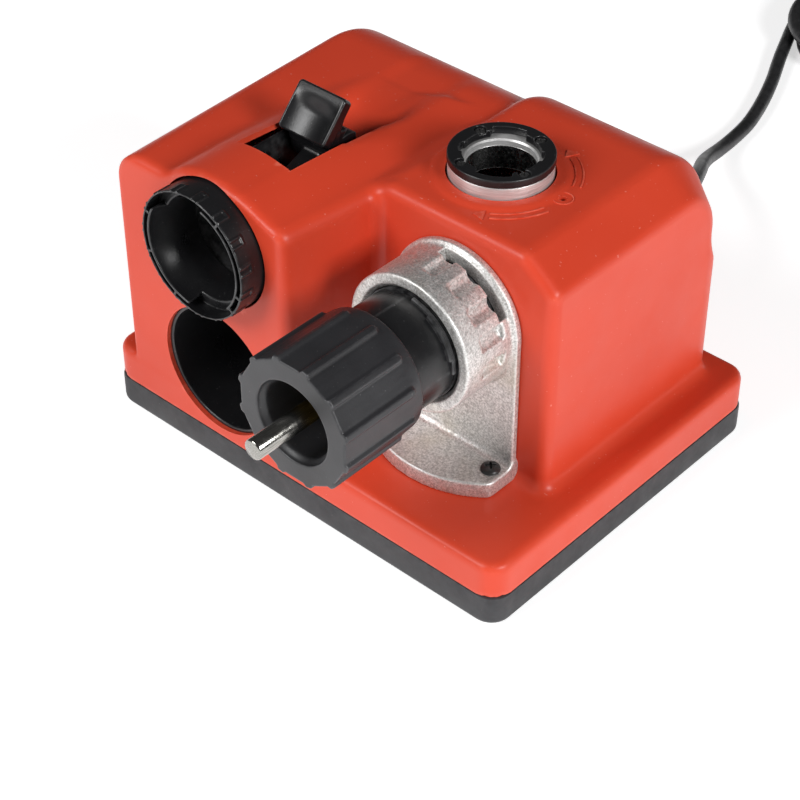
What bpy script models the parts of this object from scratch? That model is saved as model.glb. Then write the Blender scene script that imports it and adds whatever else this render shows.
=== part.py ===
"""Bench drill bit sharpener: moulded housing, cast sharpening port, chuck, motor and cord.

Written in millimetres with the base plate's centre at x = 0, y = 0 and the table at z = 0.
+X is to the right, +Y to the rear. Everything hangs from one empty, which moves the whole
object back so that its drill tip and its strain relief are equally far from the origin.
"""
import math

import bmesh
import bpy
from mathutils import Matrix, Vector

MM = 0.001
OBJECT_NAME = "drill_bit_sharpener"
GAP = 0.3                        # clearance between neighbouring pieces
SHIFT_Y = 14.0                   # moves the middle of the object's length to the origin
ROUND = 32                       # steps of a large turned shape
SMALL = 16                       # steps of a small turned shape

# Base and housing
BASE_X, BASE_Y = 200.0, 155.5
BASE_Z0, BASE_Z1 = 1.5, 12.9
BASE_CORNER = 8.5
FOOT_X, FOOT_Y, FOOT_R = 75.0, 55.0, 8.0
SKIRT_TOP = 28.0
WALL = 3.0
LEFT_X0, LEFT_X1 = -86.3, 2.0
RIGHT_X0, RIGHT_X1 = -2.0, 85.5
FRONT_LEFT_Y, FRONT_RIGHT_Y, BACK_Y = -77.1, -33.0, 73.0
LEFT_TOP, RIGHT_TOP = 124.0, 127.5
BACK_ROUND = 38.0                # radius of the housing's upper rear edge
POST_X, POST_Y = 89.5, 66.5      # screw posts in the skirt's corners

# Alignment port, its collar and the storage opening
ALIGN_X, ALIGN_Z, ALIGN_R = -36.5, 105.0, 26.0
COLLAR_R, COLLAR_Y1 = 30.0, -2.0        # the ridge tapers off behind COLLAR_Y1
COLLAR_TAIL = 26.0
STORE_X, STORE_Z, STORE_R = -39.0, 44.5, 27.5
STORE_Y1 = -18.0
SLOT_X0, SLOT_X1, SLOT_Y0, SLOT_Y1 = -48.0, -21.0, -52.0, -22.0
RAMP_Z0, RAMP_Z1, RAMP_Y1 = 108.0, 127.0, 16.0
LEVER_X, LEVER_Y, LEVER_Z = -34.5, -19.0, 121.0
LEVER_HALF = 11.7

# Sharpening port and chuck, both on one axis along Y
PORT_X, PORT_Z = 43.0, 91.0
TUBE_R, BORE_R = 27.5, 22.0
TUBE_FRONT, TUBE_BACK = -60.5, -24.0
PLATE_HALF, PLATE_T = 29.0, 2.7
PORT_FOOT_Z0, PORT_FOOT_Z1 = SKIRT_TOP + GAP, 35.0
KNOB_FRONT, KNOB_BACK, KNOB_R = -118.5, -79.0, 24.7
BARREL_R, BARREL_INNER_R = 21.3, 19.2
BIT_R, BIT_FRONT, BIT_BACK = 3.9, -137.0, -10.0

# Point split port, vertical
SPLIT_X, SPLIT_Y = 32.0, 1.3
SLEEVE_R, SLEEVE_Z0, SLEEVE_Z1 = 19.3, 121.0, 133.0
RING_Z1, RING_R, RING_BORE = 136.4, 19.6, 12.8
RING_SCREW_R = 16.2

# Drive, on one axis along X
DRIVE_Y, DRIVE_Z = 16.0, 91.0
SHAFT_R = 3.0
CAN_X0, CAN_X1, CAN_R = -58.0, 12.5, 22.0
WHEEL_X0, WHEEL_X1, WHEEL_R0, WHEEL_R1 = 33.0, 51.0, 17.0, 27.8

# Switch, in the left wall
SWITCH_Y, SWITCH_Z = 20.0, 66.0

# Cord and plug
CORD_R = 3.4
EXIT_X, EXIT_Z = 22.0, 44.0
RELIEF_END = 109.0
COIL_X, COIL_Y = -22.2, 370.1
COIL_RO, COIL_RI, COIL_Z0, COIL_Z1 = 47.0, 27.0, 1.6, 15.6
TIE_ANGLE = 15.0
PLUG_T = 13.6
CORD_ROUTE = [
    (22.0, 109.3, 44.0), (21.6, 122.0, 43.4), (19.8, 138.0, 40.6), (15.4, 156.0, 34.6),
    (7.6, 174.0, 26.8), (-1.4, 191.0, 18.8), (-9.8, 208.0, 11.6), (-16.6, 225.0, 6.2),
    (-21.4, 242.0, 3.8), (-25.6, 260.0, 3.5), (-31.6, 280.0, 3.5), (-39.4, 300.0, 3.5),
    (-47.2, 317.0, 3.6), (-52.4, 329.0, 3.9),
]

COLOURS = {
    "red": ((0.60, 0.050, 0.024), 0.48, 0.0),
    "black": ((0.022, 0.022, 0.024), 0.42, 0.0),
    "base": ((0.035, 0.035, 0.038), 0.6, 0.0),
    "rubber": ((0.030, 0.030, 0.032), 0.85, 0.0),
    "cast": ((0.62, 0.61, 0.58), 0.45, 1.0),
    "steel": ((0.56, 0.56, 0.56), 0.25, 1.0),
    "brass": ((0.62, 0.42, 0.16), 0.3, 1.0),
    "copper": ((0.60, 0.28, 0.16), 0.4, 1.0),
    "diamond": ((0.20, 0.20, 0.19), 0.75, 0.3),
    "carbon": ((0.03, 0.03, 0.03), 0.9, 0.0),
}

for leftover in list(bpy.data.objects):
    bpy.data.objects.remove(leftover, do_unlink=True)

scene_collection = bpy.context.scene.collection
parts = bpy.data.collections.new(OBJECT_NAME)
cutters = bpy.data.collections.new("cutters")
scene_collection.children.link(parts)
scene_collection.children.link(cutters)


# ---------------------------------------------------------------- helpers

def own_material(name, colour):
    """A Principled material for one piece."""
    base, rough, metal = COLOURS[colour]
    material = bpy.data.materials.new(name)
    material.use_nodes = True
    shader = material.node_tree.nodes["Principled BSDF"]
    shader.inputs["Base Color"].default_value = (*base, 1.0)
    shader.inputs["Roughness"].default_value = rough
    shader.inputs["Metallic"].default_value = metal
    return material


def add_object(name, mesh, colour, at=(0, 0, 0), turn=(0, 0, 0)):
    """Put a mesh in the object's collection, or among the cutters when it has no colour."""
    obj = bpy.data.objects.new(name, mesh)
    obj.location = Vector(at) * MM
    obj.rotation_euler = [math.radians(angle) for angle in turn]
    if colour is None:
        cutters.objects.link(obj)
        obj.display_type = "WIRE"
        obj.hide_render = True
    else:
        parts.objects.link(obj)
        mesh.materials.append(own_material(name, colour))
    return obj


def from_bmesh(name, bm, colour, at=(0, 0, 0), turn=(0, 0, 0)):
    """Turn a bmesh in millimetres into an object in metres."""
    bmesh.ops.scale(bm, vec=(MM, MM, MM), verts=bm.verts)
    mesh = bpy.data.meshes.new(name)
    bm.to_mesh(mesh)
    bm.free()
    return add_object(name, mesh, colour, at, turn)


def box(name, low, high, colour=None, pivot=(0, 0, 0), turn=(0, 0, 0)):
    """Box between two corners, with the object's origin at pivot."""
    bm = bmesh.new()
    bmesh.ops.create_cube(bm, size=1.0)
    size = Vector(high) - Vector(low)
    bmesh.ops.scale(bm, vec=size, verts=bm.verts)
    bmesh.ops.translate(bm, vec=(Vector(low) + Vector(high)) / 2 - Vector(pivot), verts=bm.verts)
    return from_bmesh(name, bm, colour, pivot, turn)


def cylinder(name, radius, length, at, turn=(0, 0, 0), colour=None, steps=ROUND, top_radius=None):
    """Cylinder or cone that starts at its location and runs along its own +Z."""
    bm = bmesh.new()
    bmesh.ops.create_cone(bm, cap_ends=True, segments=steps, radius1=radius,
                          radius2=radius if top_radius is None else top_radius, depth=length)
    bmesh.ops.translate(bm, vec=(0, 0, length / 2), verts=bm.verts)
    return from_bmesh(name, bm, colour, at, turn)


def turned(name, profile, at, turn=(0, 0, 0), colour=None, steps=ROUND, closed=False):
    """Turned shape: (radius, height) points that run down the outer side."""
    mesh = bpy.data.meshes.new(name)
    points = [(radius * MM, 0.0, height * MM) for radius, height in profile]
    edges = [(i, i + 1) for i in range(len(points) - 1)]
    if closed:
        edges.append((len(points) - 1, 0))
    mesh.from_pydata(points, edges, [])
    obj = add_object(name, mesh, colour, at, turn)
    screw = obj.modifiers.new("turn", "SCREW")
    screw.steps = steps
    screw.render_steps = steps
    screw.use_merge_vertices = True
    screw.merge_threshold = 0.00001
    weld = obj.modifiers.new("weld", "WELD")
    weld.merge_threshold = 0.00001
    return obj


def tube(name, outer, inner, length, at, turn=(0, 0, 0), colour=None, steps=ROUND):
    """Plain tube from its location along its own +Z."""
    profile = [(outer, length), (outer, 0), (inner, 0), (inner, length)]
    return turned(name, profile, at, turn, colour, steps, closed=True)


def plate(name, outline, thickness, at, turn=(0, 0, 0), colour=None):
    """Flat outline in its own XY plane, thickened along its own +Z."""
    area = sum(a[0] * b[1] - b[0] * a[1] for a, b in zip(outline, outline[1:] + outline[:1]))
    if area < 0:
        outline = outline[::-1]
    mesh = bpy.data.meshes.new(name)
    mesh.from_pydata([(x * MM, y * MM, 0.0) for x, y in outline], [], [range(len(outline))])
    obj = add_object(name, mesh, colour, at, turn)
    solid = obj.modifiers.new("thickness", "SOLIDIFY")
    solid.thickness = thickness * MM
    solid.offset = 1.0
    return obj


def bevel(obj, width, segments=2, angle=40.0):
    """Round the sharp edges."""
    modifier = obj.modifiers.new("bevel", "BEVEL")
    modifier.width = width * MM
    modifier.segments = segments
    modifier.limit_method = "ANGLE"
    modifier.angle_limit = math.radians(angle)
    return obj


def combine(obj, other, operation):
    """Live Boolean with the exact solver."""
    modifier = obj.modifiers.new(operation.lower(), "BOOLEAN")
    modifier.operation = operation
    modifier.solver = "EXACT"
    modifier.object = other
    return obj


def cut(obj, *others):
    for other in others:
        combine(obj, other, "DIFFERENCE")
    return obj


def join(obj, *others):
    for other in others:
        combine(obj, other, "UNION")
    return obj


def arc(centre, radius, start, end, count):
    """Points on an arc, angles in degrees."""
    points = []
    for i in range(count + 1):
        angle = math.radians(start + (end - start) * i / count)
        points.append((centre[0] + radius * math.cos(angle), centre[1] + radius * math.sin(angle)))
    return points


def rounded_rectangle(width, depth, radius, count=5):
    """Outline about the origin, anticlockwise."""
    x, y = width / 2 - radius, depth / 2 - radius
    outline = []
    for cx, cy, start in ((x, y, 0), (-x, y, 90), (-x, -y, 180), (x, -y, 270)):
        outline += arc((cx, cy), radius, start, start + 90, count)
    return outline


def smooth_path(points, spacing):
    """Evenly spaced points on a Catmull-Rom curve through the given ones."""
    knots = [Vector(p) for p in points]
    knots = [2 * knots[0] - knots[1]] + knots + [2 * knots[-1] - knots[-2]]
    fine = []
    for i in range(1, len(knots) - 2):
        a, b, c, d = knots[i - 1:i + 3]
        for step in range(20):
            t = step / 20
            fine.append(0.5 * (2 * b + (c - a) * t + (2 * a - 5 * b + 4 * c - d) * t * t
                               + (3 * b - a - 3 * c + d) * t ** 3))
    fine.append(knots[-2])
    total = sum((q - p).length for p, q in zip(fine, fine[1:]))
    count = round(total / spacing)
    result, travelled, target = [fine[0]], 0.0, total / count
    for p, q in zip(fine, fine[1:]):
        step = (q - p).length
        while travelled + step >= target - 1e-6 and len(result) < count:
            result.append(p.lerp(q, (target - travelled) / step))
            target += total / count
        travelled += step
    return result + [fine[-1]]


def wire(name, points, radius, colour, at=(0, 0, 0), resolution=2):
    """Round bar along a polyline, with filled ends."""
    curve = bpy.data.curves.new(name, "CURVE")
    curve.dimensions = "3D"
    curve.bevel_depth = radius * MM
    curve.bevel_resolution = resolution
    curve.use_fill_caps = True
    spline = curve.splines.new("POLY")
    spline.points.add(len(points) - 1)
    for knot, point in zip(spline.points, points):
        knot.co = (*((Vector(point) - Vector(at)) * MM), 1.0)
    curve.materials.append(own_material(name, colour))
    obj = bpy.data.objects.new(name, curve)
    obj.location = Vector(at) * MM
    parts.objects.link(obj)
    return obj


FRONTWARD = (90, 0, 0)      # own +Z points to the front, -Y
REARWARD = (-90, 0, 0)      # own +Z points to the rear, +Y
RIGHTWARD = (0, 90, 0)      # own +Z points to the right, +X
LEFTWARD = (0, -90, 0)      # own +Z points to the left, -X


def screw(name, at, head_r, head_h, shank_r, shank_l, turn=(0, 0, 0)):
    """Pan-head screw: location under the head, shank along its own -Z."""
    profile = [(0, head_h), (head_r * 0.6, head_h), (head_r, head_h * 0.45), (head_r, 0),
               (shank_r, 0), (shank_r, -shank_l), (0, -shank_l)]
    obj = turned(name, profile, at, turn, "black", 12)
    slot = head_r * 0.55
    for angle in (45, 135):
        blade = box(f"cut_{name}_{angle}", (-slot, -head_r * 0.12, head_h * 0.45),
                    (slot, head_r * 0.12, head_h * 2))
        blade.data.transform(Matrix.Rotation(math.radians(angle), 4, "Z"))
        blade.location = Vector(at) * MM
        blade.rotation_euler = obj.rotation_euler
        cut(obj, blade)
    return obj


# ---------------------------------------------------------------- base

def make_base():
    base = plate("base_plate", rounded_rectangle(BASE_X, BASE_Y, BASE_CORNER), BASE_Z1 - BASE_Z0,
                 (0, 0, BASE_Z0), colour="base")
    for x_sign in (-1, 1):
        for y_sign in (-1, 1):
            side = "left" if x_sign < 0 else "right"
            end = "front" if y_sign < 0 else "rear"
            x, y = x_sign * FOOT_X, y_sign * FOOT_Y
            turned(f"foot_{end}_{side}",
                   [(0, 4.0), (FOOT_R, 4.0), (FOOT_R, 0.8), (FOOT_R - 0.8, 0), (0, 0)],
                   (x, y, 0), colour="rubber", steps=SMALL)
            cut(base, cylinder(f"cut_foot_{end}_{side}", FOOT_R + 0.4, 5.0, (x, y, -0.7), steps=SMALL))
    number = 0
    for x_sign in (-1, 1):
        for y_sign in (-1, 1):
            number += 1
            x, y = x_sign * POST_X, y_sign * POST_Y
            cut(base, cylinder(f"cut_base_hole_{number}", 2.1, 20, (x, y, 0), steps=SMALL))
            cut(base, cylinder(f"cut_base_sink_{number}", 4.0, 4.0, (x, y, 0.4), steps=SMALL))
            turned(f"base_screw_{number}",
                   [(0, 22.0), (1.5, 22.0), (1.5, 4.0), (3.4, 4.0), (3.4, 2.2), (0, 2.2)],
                   (x, y, 0), colour="steel", steps=SMALL)


# ---------------------------------------------------------------- housing

def block(name, x0, x1, y0, y1, z0, z1, back_round, edge=None):
    """Block with a large round on its upper rear edge."""
    outline = [(y0, z0), (y1, z0)] + arc((y1 - back_round, z1 - back_round), back_round, 0, 90, 7)
    outline.append((y0, z1))
    obj = plate(name, outline, x1 - x0, (x0, 0, 0), turn=(0, 0, 0))
    obj.rotation_euler = (math.radians(90), 0, math.radians(90))
    if edge:
        bevel(obj, edge, 3)
    return obj


def collar(name, radius, y0, y1):
    """Half-round ridge over the alignment port, with a tapered rear end."""
    tail = -y1 - COLLAR_TAIL
    profile = [(0, -y0), (radius, -y0), (radius, -y1), (radius * 0.86, -y1 - COLLAR_TAIL * 0.5),
               (radius * 0.45, tail), (0, tail)]
    return turned(name, profile, (ALIGN_X, 0, ALIGN_Z), FRONTWARD)


def chamfer_cutter(name, offset):
    """Wedge that slants the right block's upper right edge."""
    inner, outer = 69.0 - offset, RIGHT_X1 - offset
    outline = [(inner, 140.0), (inner, RIGHT_TOP + 1.0 - offset), (outer, 116.0 - offset),
               (100.0, 116.0 - offset), (100.0, 140.0)]
    return plate(name, outline, 140.0, (0, 90.0, 0), turn=FRONTWARD)


def side_plate(name, outline, x0, x1):
    """Outline in the (y, z) plane, thickened from x0 to x1."""
    obj = plate(name, outline, x1 - x0, (x0, 0, 0))
    obj.rotation_euler = (math.radians(90), 0, math.radians(90))
    return obj


def housing_openings():
    """Every hole through the shell."""
    ramp = [(SLOT_Y1 - 1, RAMP_Z0), (RAMP_Y1, RAMP_Z1), (RAMP_Y1, 150), (SLOT_Y1 - 1, 150)]
    switch_low = (LEFT_X0 - 5, SWITCH_Y - 10.8, SWITCH_Z - 7.3)
    switch_high = (LEFT_X0 + 8, SWITCH_Y + 10.8, SWITCH_Z + 7.3)
    return [
        cylinder("cut_align", ALIGN_R + 0.6, 12, (ALIGN_X, -70, ALIGN_Z), FRONTWARD),
        cylinder("cut_store", STORE_R, 12, (STORE_X, -70, STORE_Z), FRONTWARD),
        box("cut_slot", (SLOT_X0, SLOT_Y0, 104), (SLOT_X1, SLOT_Y1, 150)),
        side_plate("cut_ramp", ramp, SLOT_X0, SLOT_X1),
        cylinder("cut_pivot", 2.1, 60, (LEVER_X - 30, LEVER_Y, LEVER_Z), RIGHTWARD, steps=SMALL),
        cylinder("cut_port", TUBE_R - 3.0, 20, (PORT_X, -22, PORT_Z), FRONTWARD),
        cylinder("cut_split", SLEEVE_R + 0.3, 20, (SPLIT_X, SPLIT_Y, 115)),
        cylinder("cut_split_mark", 1.5, 20, (59.0, 3.0, 115), steps=SMALL),
        cylinder("cut_relief", 6.3, 20, (EXIT_X, 62, EXIT_Z), REARWARD, steps=SMALL),
        box("cut_switch", switch_low, switch_high),
    ]


def make_housing():
    """Outer form, minus the cavity, plus the slot's walls and posts, minus the openings."""
    skirt = rounded_rectangle(BASE_X - 0.8, BASE_Y - 0.8, BASE_CORNER)
    shell = plate("housing_shell", skirt, SKIRT_TOP - BASE_Z1 - GAP, (0, 0, BASE_Z1 + GAP), colour="red")
    bevel(shell, 2.0, 2)
    low = BASE_Z1 + 6
    left = block("form_left", LEFT_X0, LEFT_X1, FRONT_LEFT_Y, BACK_Y, low, LEFT_TOP, BACK_ROUND, 5.0)
    right = block("form_right", RIGHT_X0, RIGHT_X1, FRONT_RIGHT_Y, BACK_Y - 0.1,
                  low + 1, RIGHT_TOP, BACK_ROUND, 5.0)
    cut(right, chamfer_cutter("form_chamfer", 0.0))
    boss = cylinder("form_boss", 24.0, 8.0, (SPLIT_X, SPLIT_Y, 120.2), top_radius=22.5)
    ridge = collar("form_collar", COLLAR_R, FRONT_LEFT_Y + 0.4, COLLAR_Y1)
    bridge = block("form_bridge", LEFT_X1 - 20, RIGHT_X0 + 20, FRONT_RIGHT_Y + 6, BACK_Y,
                   low + 2, LEFT_TOP, BACK_ROUND)
    join(shell, left, right, bridge, ridge, boss)
    skirt_inside = rounded_rectangle(BASE_X - 0.8 - 2 * WALL, BASE_Y - 0.8 - 2 * WALL, BASE_CORNER - WALL)
    cavity = plate("cavity", skirt_inside, SKIRT_TOP - WALL - 5, (0, 0, 5))
    left_in = block("cavity_left", LEFT_X0 + WALL, LEFT_X1 - WALL, FRONT_LEFT_Y + WALL, BACK_Y - WALL,
                    8.0, LEFT_TOP - WALL, BACK_ROUND - WALL, 3.0)
    right_in = block("cavity_right", RIGHT_X0 - 2.0, RIGHT_X1 - WALL, FRONT_RIGHT_Y + WALL,
                     BACK_Y - WALL - 0.2, 9.0, RIGHT_TOP - WALL, BACK_ROUND - WALL, 3.0)
    cut(right_in, chamfer_cutter("cavity_chamfer", WALL))
    ridge_in = collar("cavity_collar", COLLAR_R - WALL, FRONT_LEFT_Y + WALL + 0.4, COLLAR_Y1 - 6)
    join(cavity, left_in, right_in, ridge_in)
    cut(shell, cavity)
    trench = [(SLOT_Y1 - 3, RAMP_Z0 - 3), (RAMP_Y1, RAMP_Z1 - 4), (RAMP_Y1, 123.2), (SLOT_Y1 - 3, 125.5)]
    join(shell, side_plate("form_trench", trench, SLOT_X0 - WALL, SLOT_X1 + WALL))
    number = 0
    for x_sign in (-1, 1):
        for y_sign in (-1, 1):
            number += 1
            x, y = x_sign * POST_X, y_sign * POST_Y
            foot_z = BASE_Z1 + GAP + 0.1
            join(shell, cylinder(f"form_post_{number}", 5.0, 13.5, (x, y, foot_z), steps=SMALL))
            cut(shell, cylinder(f"cut_post_{number}", 1.9, 20.0, (x, y, 4.0), steps=SMALL))
    cut(shell, *housing_openings())


# ---------------------------------------------------------------- ports

def make_sharpening_port():
    """Casting: tube, back plate, foot and a spigot through the housing."""
    face = FRONT_RIGHT_Y - GAP
    outline = [(PLATE_HALF, PORT_FOOT_Z0 + 3 - PORT_Z)] + arc((0, 0), PLATE_HALF, 0, 180, 16)
    outline.append((-PLATE_HALF, PORT_FOOT_Z0 + 3 - PORT_Z))
    casting = plate("sharpening_port", outline, PLATE_T, (PORT_X, face, PORT_Z), FRONTWARD, "cast")
    foot_outline = [(29.5, 0.1), (29.5, -15.0)]
    foot_outline += arc((0, 17.6), 43.8, -47.8, -132.2, 10)
    foot_outline += [(-29.5, -15.0), (-29.5, 0.1)]
    foot = plate("form_port_foot", foot_outline, PORT_FOOT_Z1 - PORT_FOOT_Z0,
                 (PORT_X, face - 0.2, PORT_FOOT_Z0))
    join(casting, foot)
    length = TUBE_BACK - TUBE_FRONT
    step = TUBE_BACK - face + 0.1
    body = turned("form_port_tube", [(0, length), (TUBE_R, length), (TUBE_R, step), (TUBE_R - 3.4, step),
                                     (TUBE_R - 3.4, 0), (0, 0)],
                  (PORT_X, TUBE_BACK, PORT_Z), FRONTWARD)
    join(casting, body)
    cut(casting, cylinder("cut_port_bore", BORE_R, length + 4, (PORT_X, TUBE_BACK + 2, PORT_Z), FRONTWARD))
    for index, angle in enumerate((3, 27, 51, 73, 98)):
        pocket = cylinder(f"cut_flute_{index}", 3.2, 9.0, (PORT_X, -41.5, PORT_Z), FRONTWARD, steps=12)
        lean = math.radians(angle)
        reach = TUBE_R + 1.2
        pocket.location.x += reach * math.sin(lean) * MM
        pocket.location.z += reach * math.cos(lean) * MM
        cut(casting, pocket)
    window = turned("cut_window", [(TUBE_R + 3, 3.6), (TUBE_R + 3, 0), (BORE_R - 2, 0), (BORE_R - 2, 3.6)],
                    (PORT_X, -37.4, PORT_Z), FRONTWARD, closed=True)
    sector = plate("cut_window_sector", [(0, 0), (-8, 60), (40, 60), (70, 30)], 20,
                   (PORT_X, -30, PORT_Z), FRONTWARD)
    combine(window, sector, "INTERSECT")
    cut(casting, window)
    for side, x_sign in (("left", -1), ("right", 1)):
        x, y = PORT_X + x_sign * 24.0, -42.0
        cut(casting, cylinder(f"cut_port_screw_{side}", 2.0, 20, (x, y, 24), steps=SMALL))
        screw(f"port_screw_{side}", (x, y, PORT_FOOT_Z1 + 0.05), 3.75, 2.4, 1.6, 6.4)
    bush = turned("guide_bush", [(BORE_R - 0.3, 27.0), (BORE_R - 0.3, 0), (BARREL_INNER_R + 0.3, 0),
                                 (BARREL_INNER_R + 0.3, 27.0)],
                  (PORT_X, -33.0, PORT_Z), FRONTWARD, "black", closed=True)
    notch = box("cut_bush_notch", (PORT_X - 4, -63, PORT_Z - 30), (PORT_X + 4, -56.0, PORT_Z))
    cut(bush, notch)


def make_split_port():
    """Vertical sleeve in the top of the right block, with its cover ring."""
    sleeve = turned("split_port_sleeve",
                    [(SLEEVE_R, SLEEVE_Z1 - SLEEVE_Z0), (SLEEVE_R, 0),
                     (15.2, 0), (15.2, SLEEVE_Z1 - SLEEVE_Z0)],
                    (SPLIT_X, SPLIT_Y, SLEEVE_Z0), colour="steel", closed=True)
    ring = tube("split_port_ring", RING_R, RING_BORE, RING_Z1 - SLEEVE_Z1 - GAP,
                (SPLIT_X, SPLIT_Y, SLEEVE_Z1 + GAP), colour="black")
    for index, angle in enumerate((118, 298)):
        notch = box(f"cut_ring_notch_{index}", (8, -7, 120), (15.0, 7, 150))
        notch.data.transform(Matrix.Rotation(math.radians(90 - angle), 4, "Z"))
        notch.location = Vector((SPLIT_X, SPLIT_Y, 0)) * MM
        cut(ring, notch)
    for index, angle in enumerate((-21, 70, 159, 248)):
        lean = math.radians(angle)
        x = SPLIT_X + RING_SCREW_R * math.cos(lean)
        y = SPLIT_Y + RING_SCREW_R * math.sin(lean)
        cut(ring, cylinder(f"cut_ring_sink_{index}", 2.3, 5, (x, y, RING_Z1 - 1.2), steps=SMALL))
        cut(ring, cylinder(f"cut_ring_hole_{index}", 1.1, 20, (x, y, 125), steps=12))
        cut(sleeve, cylinder(f"cut_sleeve_hole_{index}", 1.1, 20, (x, y, 125), steps=12))
        screw(f"ring_screw_{index + 1}", (x, y, RING_Z1 - 1.15), 2.0, 1.0, 0.8, 6.0)


def make_alignment_port():
    """Ring at the front, fixed tube behind it, and two claws on their guide."""
    ring_profile = [(ALIGN_R, 21.0), (ALIGN_R, 0), (20.3, 0), (20.3, 8.0), (22.6, 12.0), (24.4, 21.0)]
    turned("alignment_ring", ring_profile, (ALIGN_X, -67.0, ALIGN_Z), FRONTWARD, "black", closed=True)
    tube("alignment_tube", 25.0, 20.3, 13.4, (ALIGN_X, -53.3, ALIGN_Z), FRONTWARD, "black")
    guide_z = ALIGN_Z - 5.0
    box("claw_guide", (ALIGN_X - 23, -53.0, guide_z - 3), (ALIGN_X + 23, -30.0, guide_z), "steel")
    for side, sign in (("left", -1), ("right", 1)):
        inner, outer = ALIGN_X + sign * 3.5, ALIGN_X + sign * 18.0
        claw = box(f"claw_{side}", (min(inner, outer), -52.7, guide_z + GAP),
                   (max(inner, outer), -47.0, guide_z + 8.5), "steel", (ALIGN_X, -50.0, ALIGN_Z))
        bevel(claw, 0.8, 1)


def make_lever():
    """Thumb paddle with a bent arm, its pin and its spring."""
    outline = [(-14.5, 9.5), (-1.5, 24.0), (1.8, 21.2), (-1.0, 15.5), (4.0, 4.0), (3.6, -2.6),
               (-3.0, -4.0), (-5.0, 2.0), (-10.5, 6.0)]
    at = (LEVER_X - LEVER_HALF, LEVER_Y, LEVER_Z)
    lever = plate("alignment_lever", outline, 2 * LEVER_HALF, at, colour="black")
    lever.rotation_euler = (math.radians(90), 0, math.radians(90))
    arm_outline = [(-1.0, 3.0), (-22.0, -5.0), (-26.0, -12.0), (-22.5, -12.0), (-1.5, -3.2)]
    arm = plate("form_lever_arm", arm_outline, 8.0, (LEVER_X - 4.0, LEVER_Y, LEVER_Z))
    arm.rotation_euler = lever.rotation_euler
    join(lever, arm)
    bore_start = (LEVER_X - 30, LEVER_Y, LEVER_Z)
    cut(lever, cylinder("cut_lever_bore", 1.9, 60, bore_start, RIGHTWARD, steps=SMALL))
    cylinder("lever_pin", 1.8, 32.0, (LEVER_X - 16.0, LEVER_Y, LEVER_Z), RIGHTWARD, "steel", SMALL)
    turns, steps_a_turn, coil_r = 4, 10, 2.6
    low, high = ALIGN_Z - 5.0 + 0.9, 107.6
    points = []
    for i in range(turns * steps_a_turn + 1):
        angle = 2 * math.pi * i / steps_a_turn
        height = low + (high - low) * i / (turns * steps_a_turn)
        points.append((LEVER_X + coil_r * math.cos(angle), -38.0 + coil_r * math.sin(angle), height))
    wire("lever_spring", points, 0.45, "steel", (LEVER_X, -38.0, low), resolution=0)


def make_storage_cup():
    length = STORE_Y1 - (FRONT_LEFT_Y + 0.6)
    outer, inner = STORE_R - 0.5, STORE_R - 2.3
    turned("storage_cup", [(0, 2.0), (inner, 2.0), (inner, length), (outer, length), (outer, 0), (0, 0)],
           (STORE_X, STORE_Y1, STORE_Z), FRONTWARD, "black")


# ---------------------------------------------------------------- chuck

def make_chuck():
    """Barrel, knob, jaws and the bit that they hold."""
    shoulder, nose = 22.5, -6.0
    turned("chuck_barrel",
           [(BARREL_R, 50.0), (BARREL_R, shoulder), (BARREL_INNER_R, shoulder), (BARREL_INNER_R, nose),
            (12.0, nose - 3), (8.0, nose - 3), (8.0, 50.0)],
           (PORT_X, -38.0, PORT_Z), FRONTWARD, "black", closed=True)
    turned("chuck_knob",
           [(KNOB_R - 0.8, 39.5), (KNOB_R, 38.5), (KNOB_R, 3.0), (KNOB_R - 2.4, 0.0), (BARREL_R + GAP, 0.0),
            (BARREL_R + GAP, 10.0), (15.0, 10.0), (15.0, 28.0), (17.0, 28.5), (17.0, 39.5)],
           (PORT_X, KNOB_BACK, PORT_Z), FRONTWARD, "rubber", closed=True)
    for number in range(3):
        low, high = (PORT_X - 1.5, -50.0, PORT_Z + 4.2), (PORT_X + 1.5, -24.0, PORT_Z + 6.4)
        jaw = box(f"chuck_jaw_{number + 1}", low, high, "steel", (PORT_X, -50.0, PORT_Z))
        jaw.rotation_euler = (0, math.radians(120 * number), 0)
    length = BIT_BACK - BIT_FRONT
    turned("drill_bit", [(0, length), (BIT_R - 0.4, length), (BIT_R, length - 0.4), (BIT_R, 2.3), (0, 0)],
           (PORT_X, BIT_BACK, PORT_Z), FRONTWARD, "steel", SMALL)


# ---------------------------------------------------------------- drive

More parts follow.
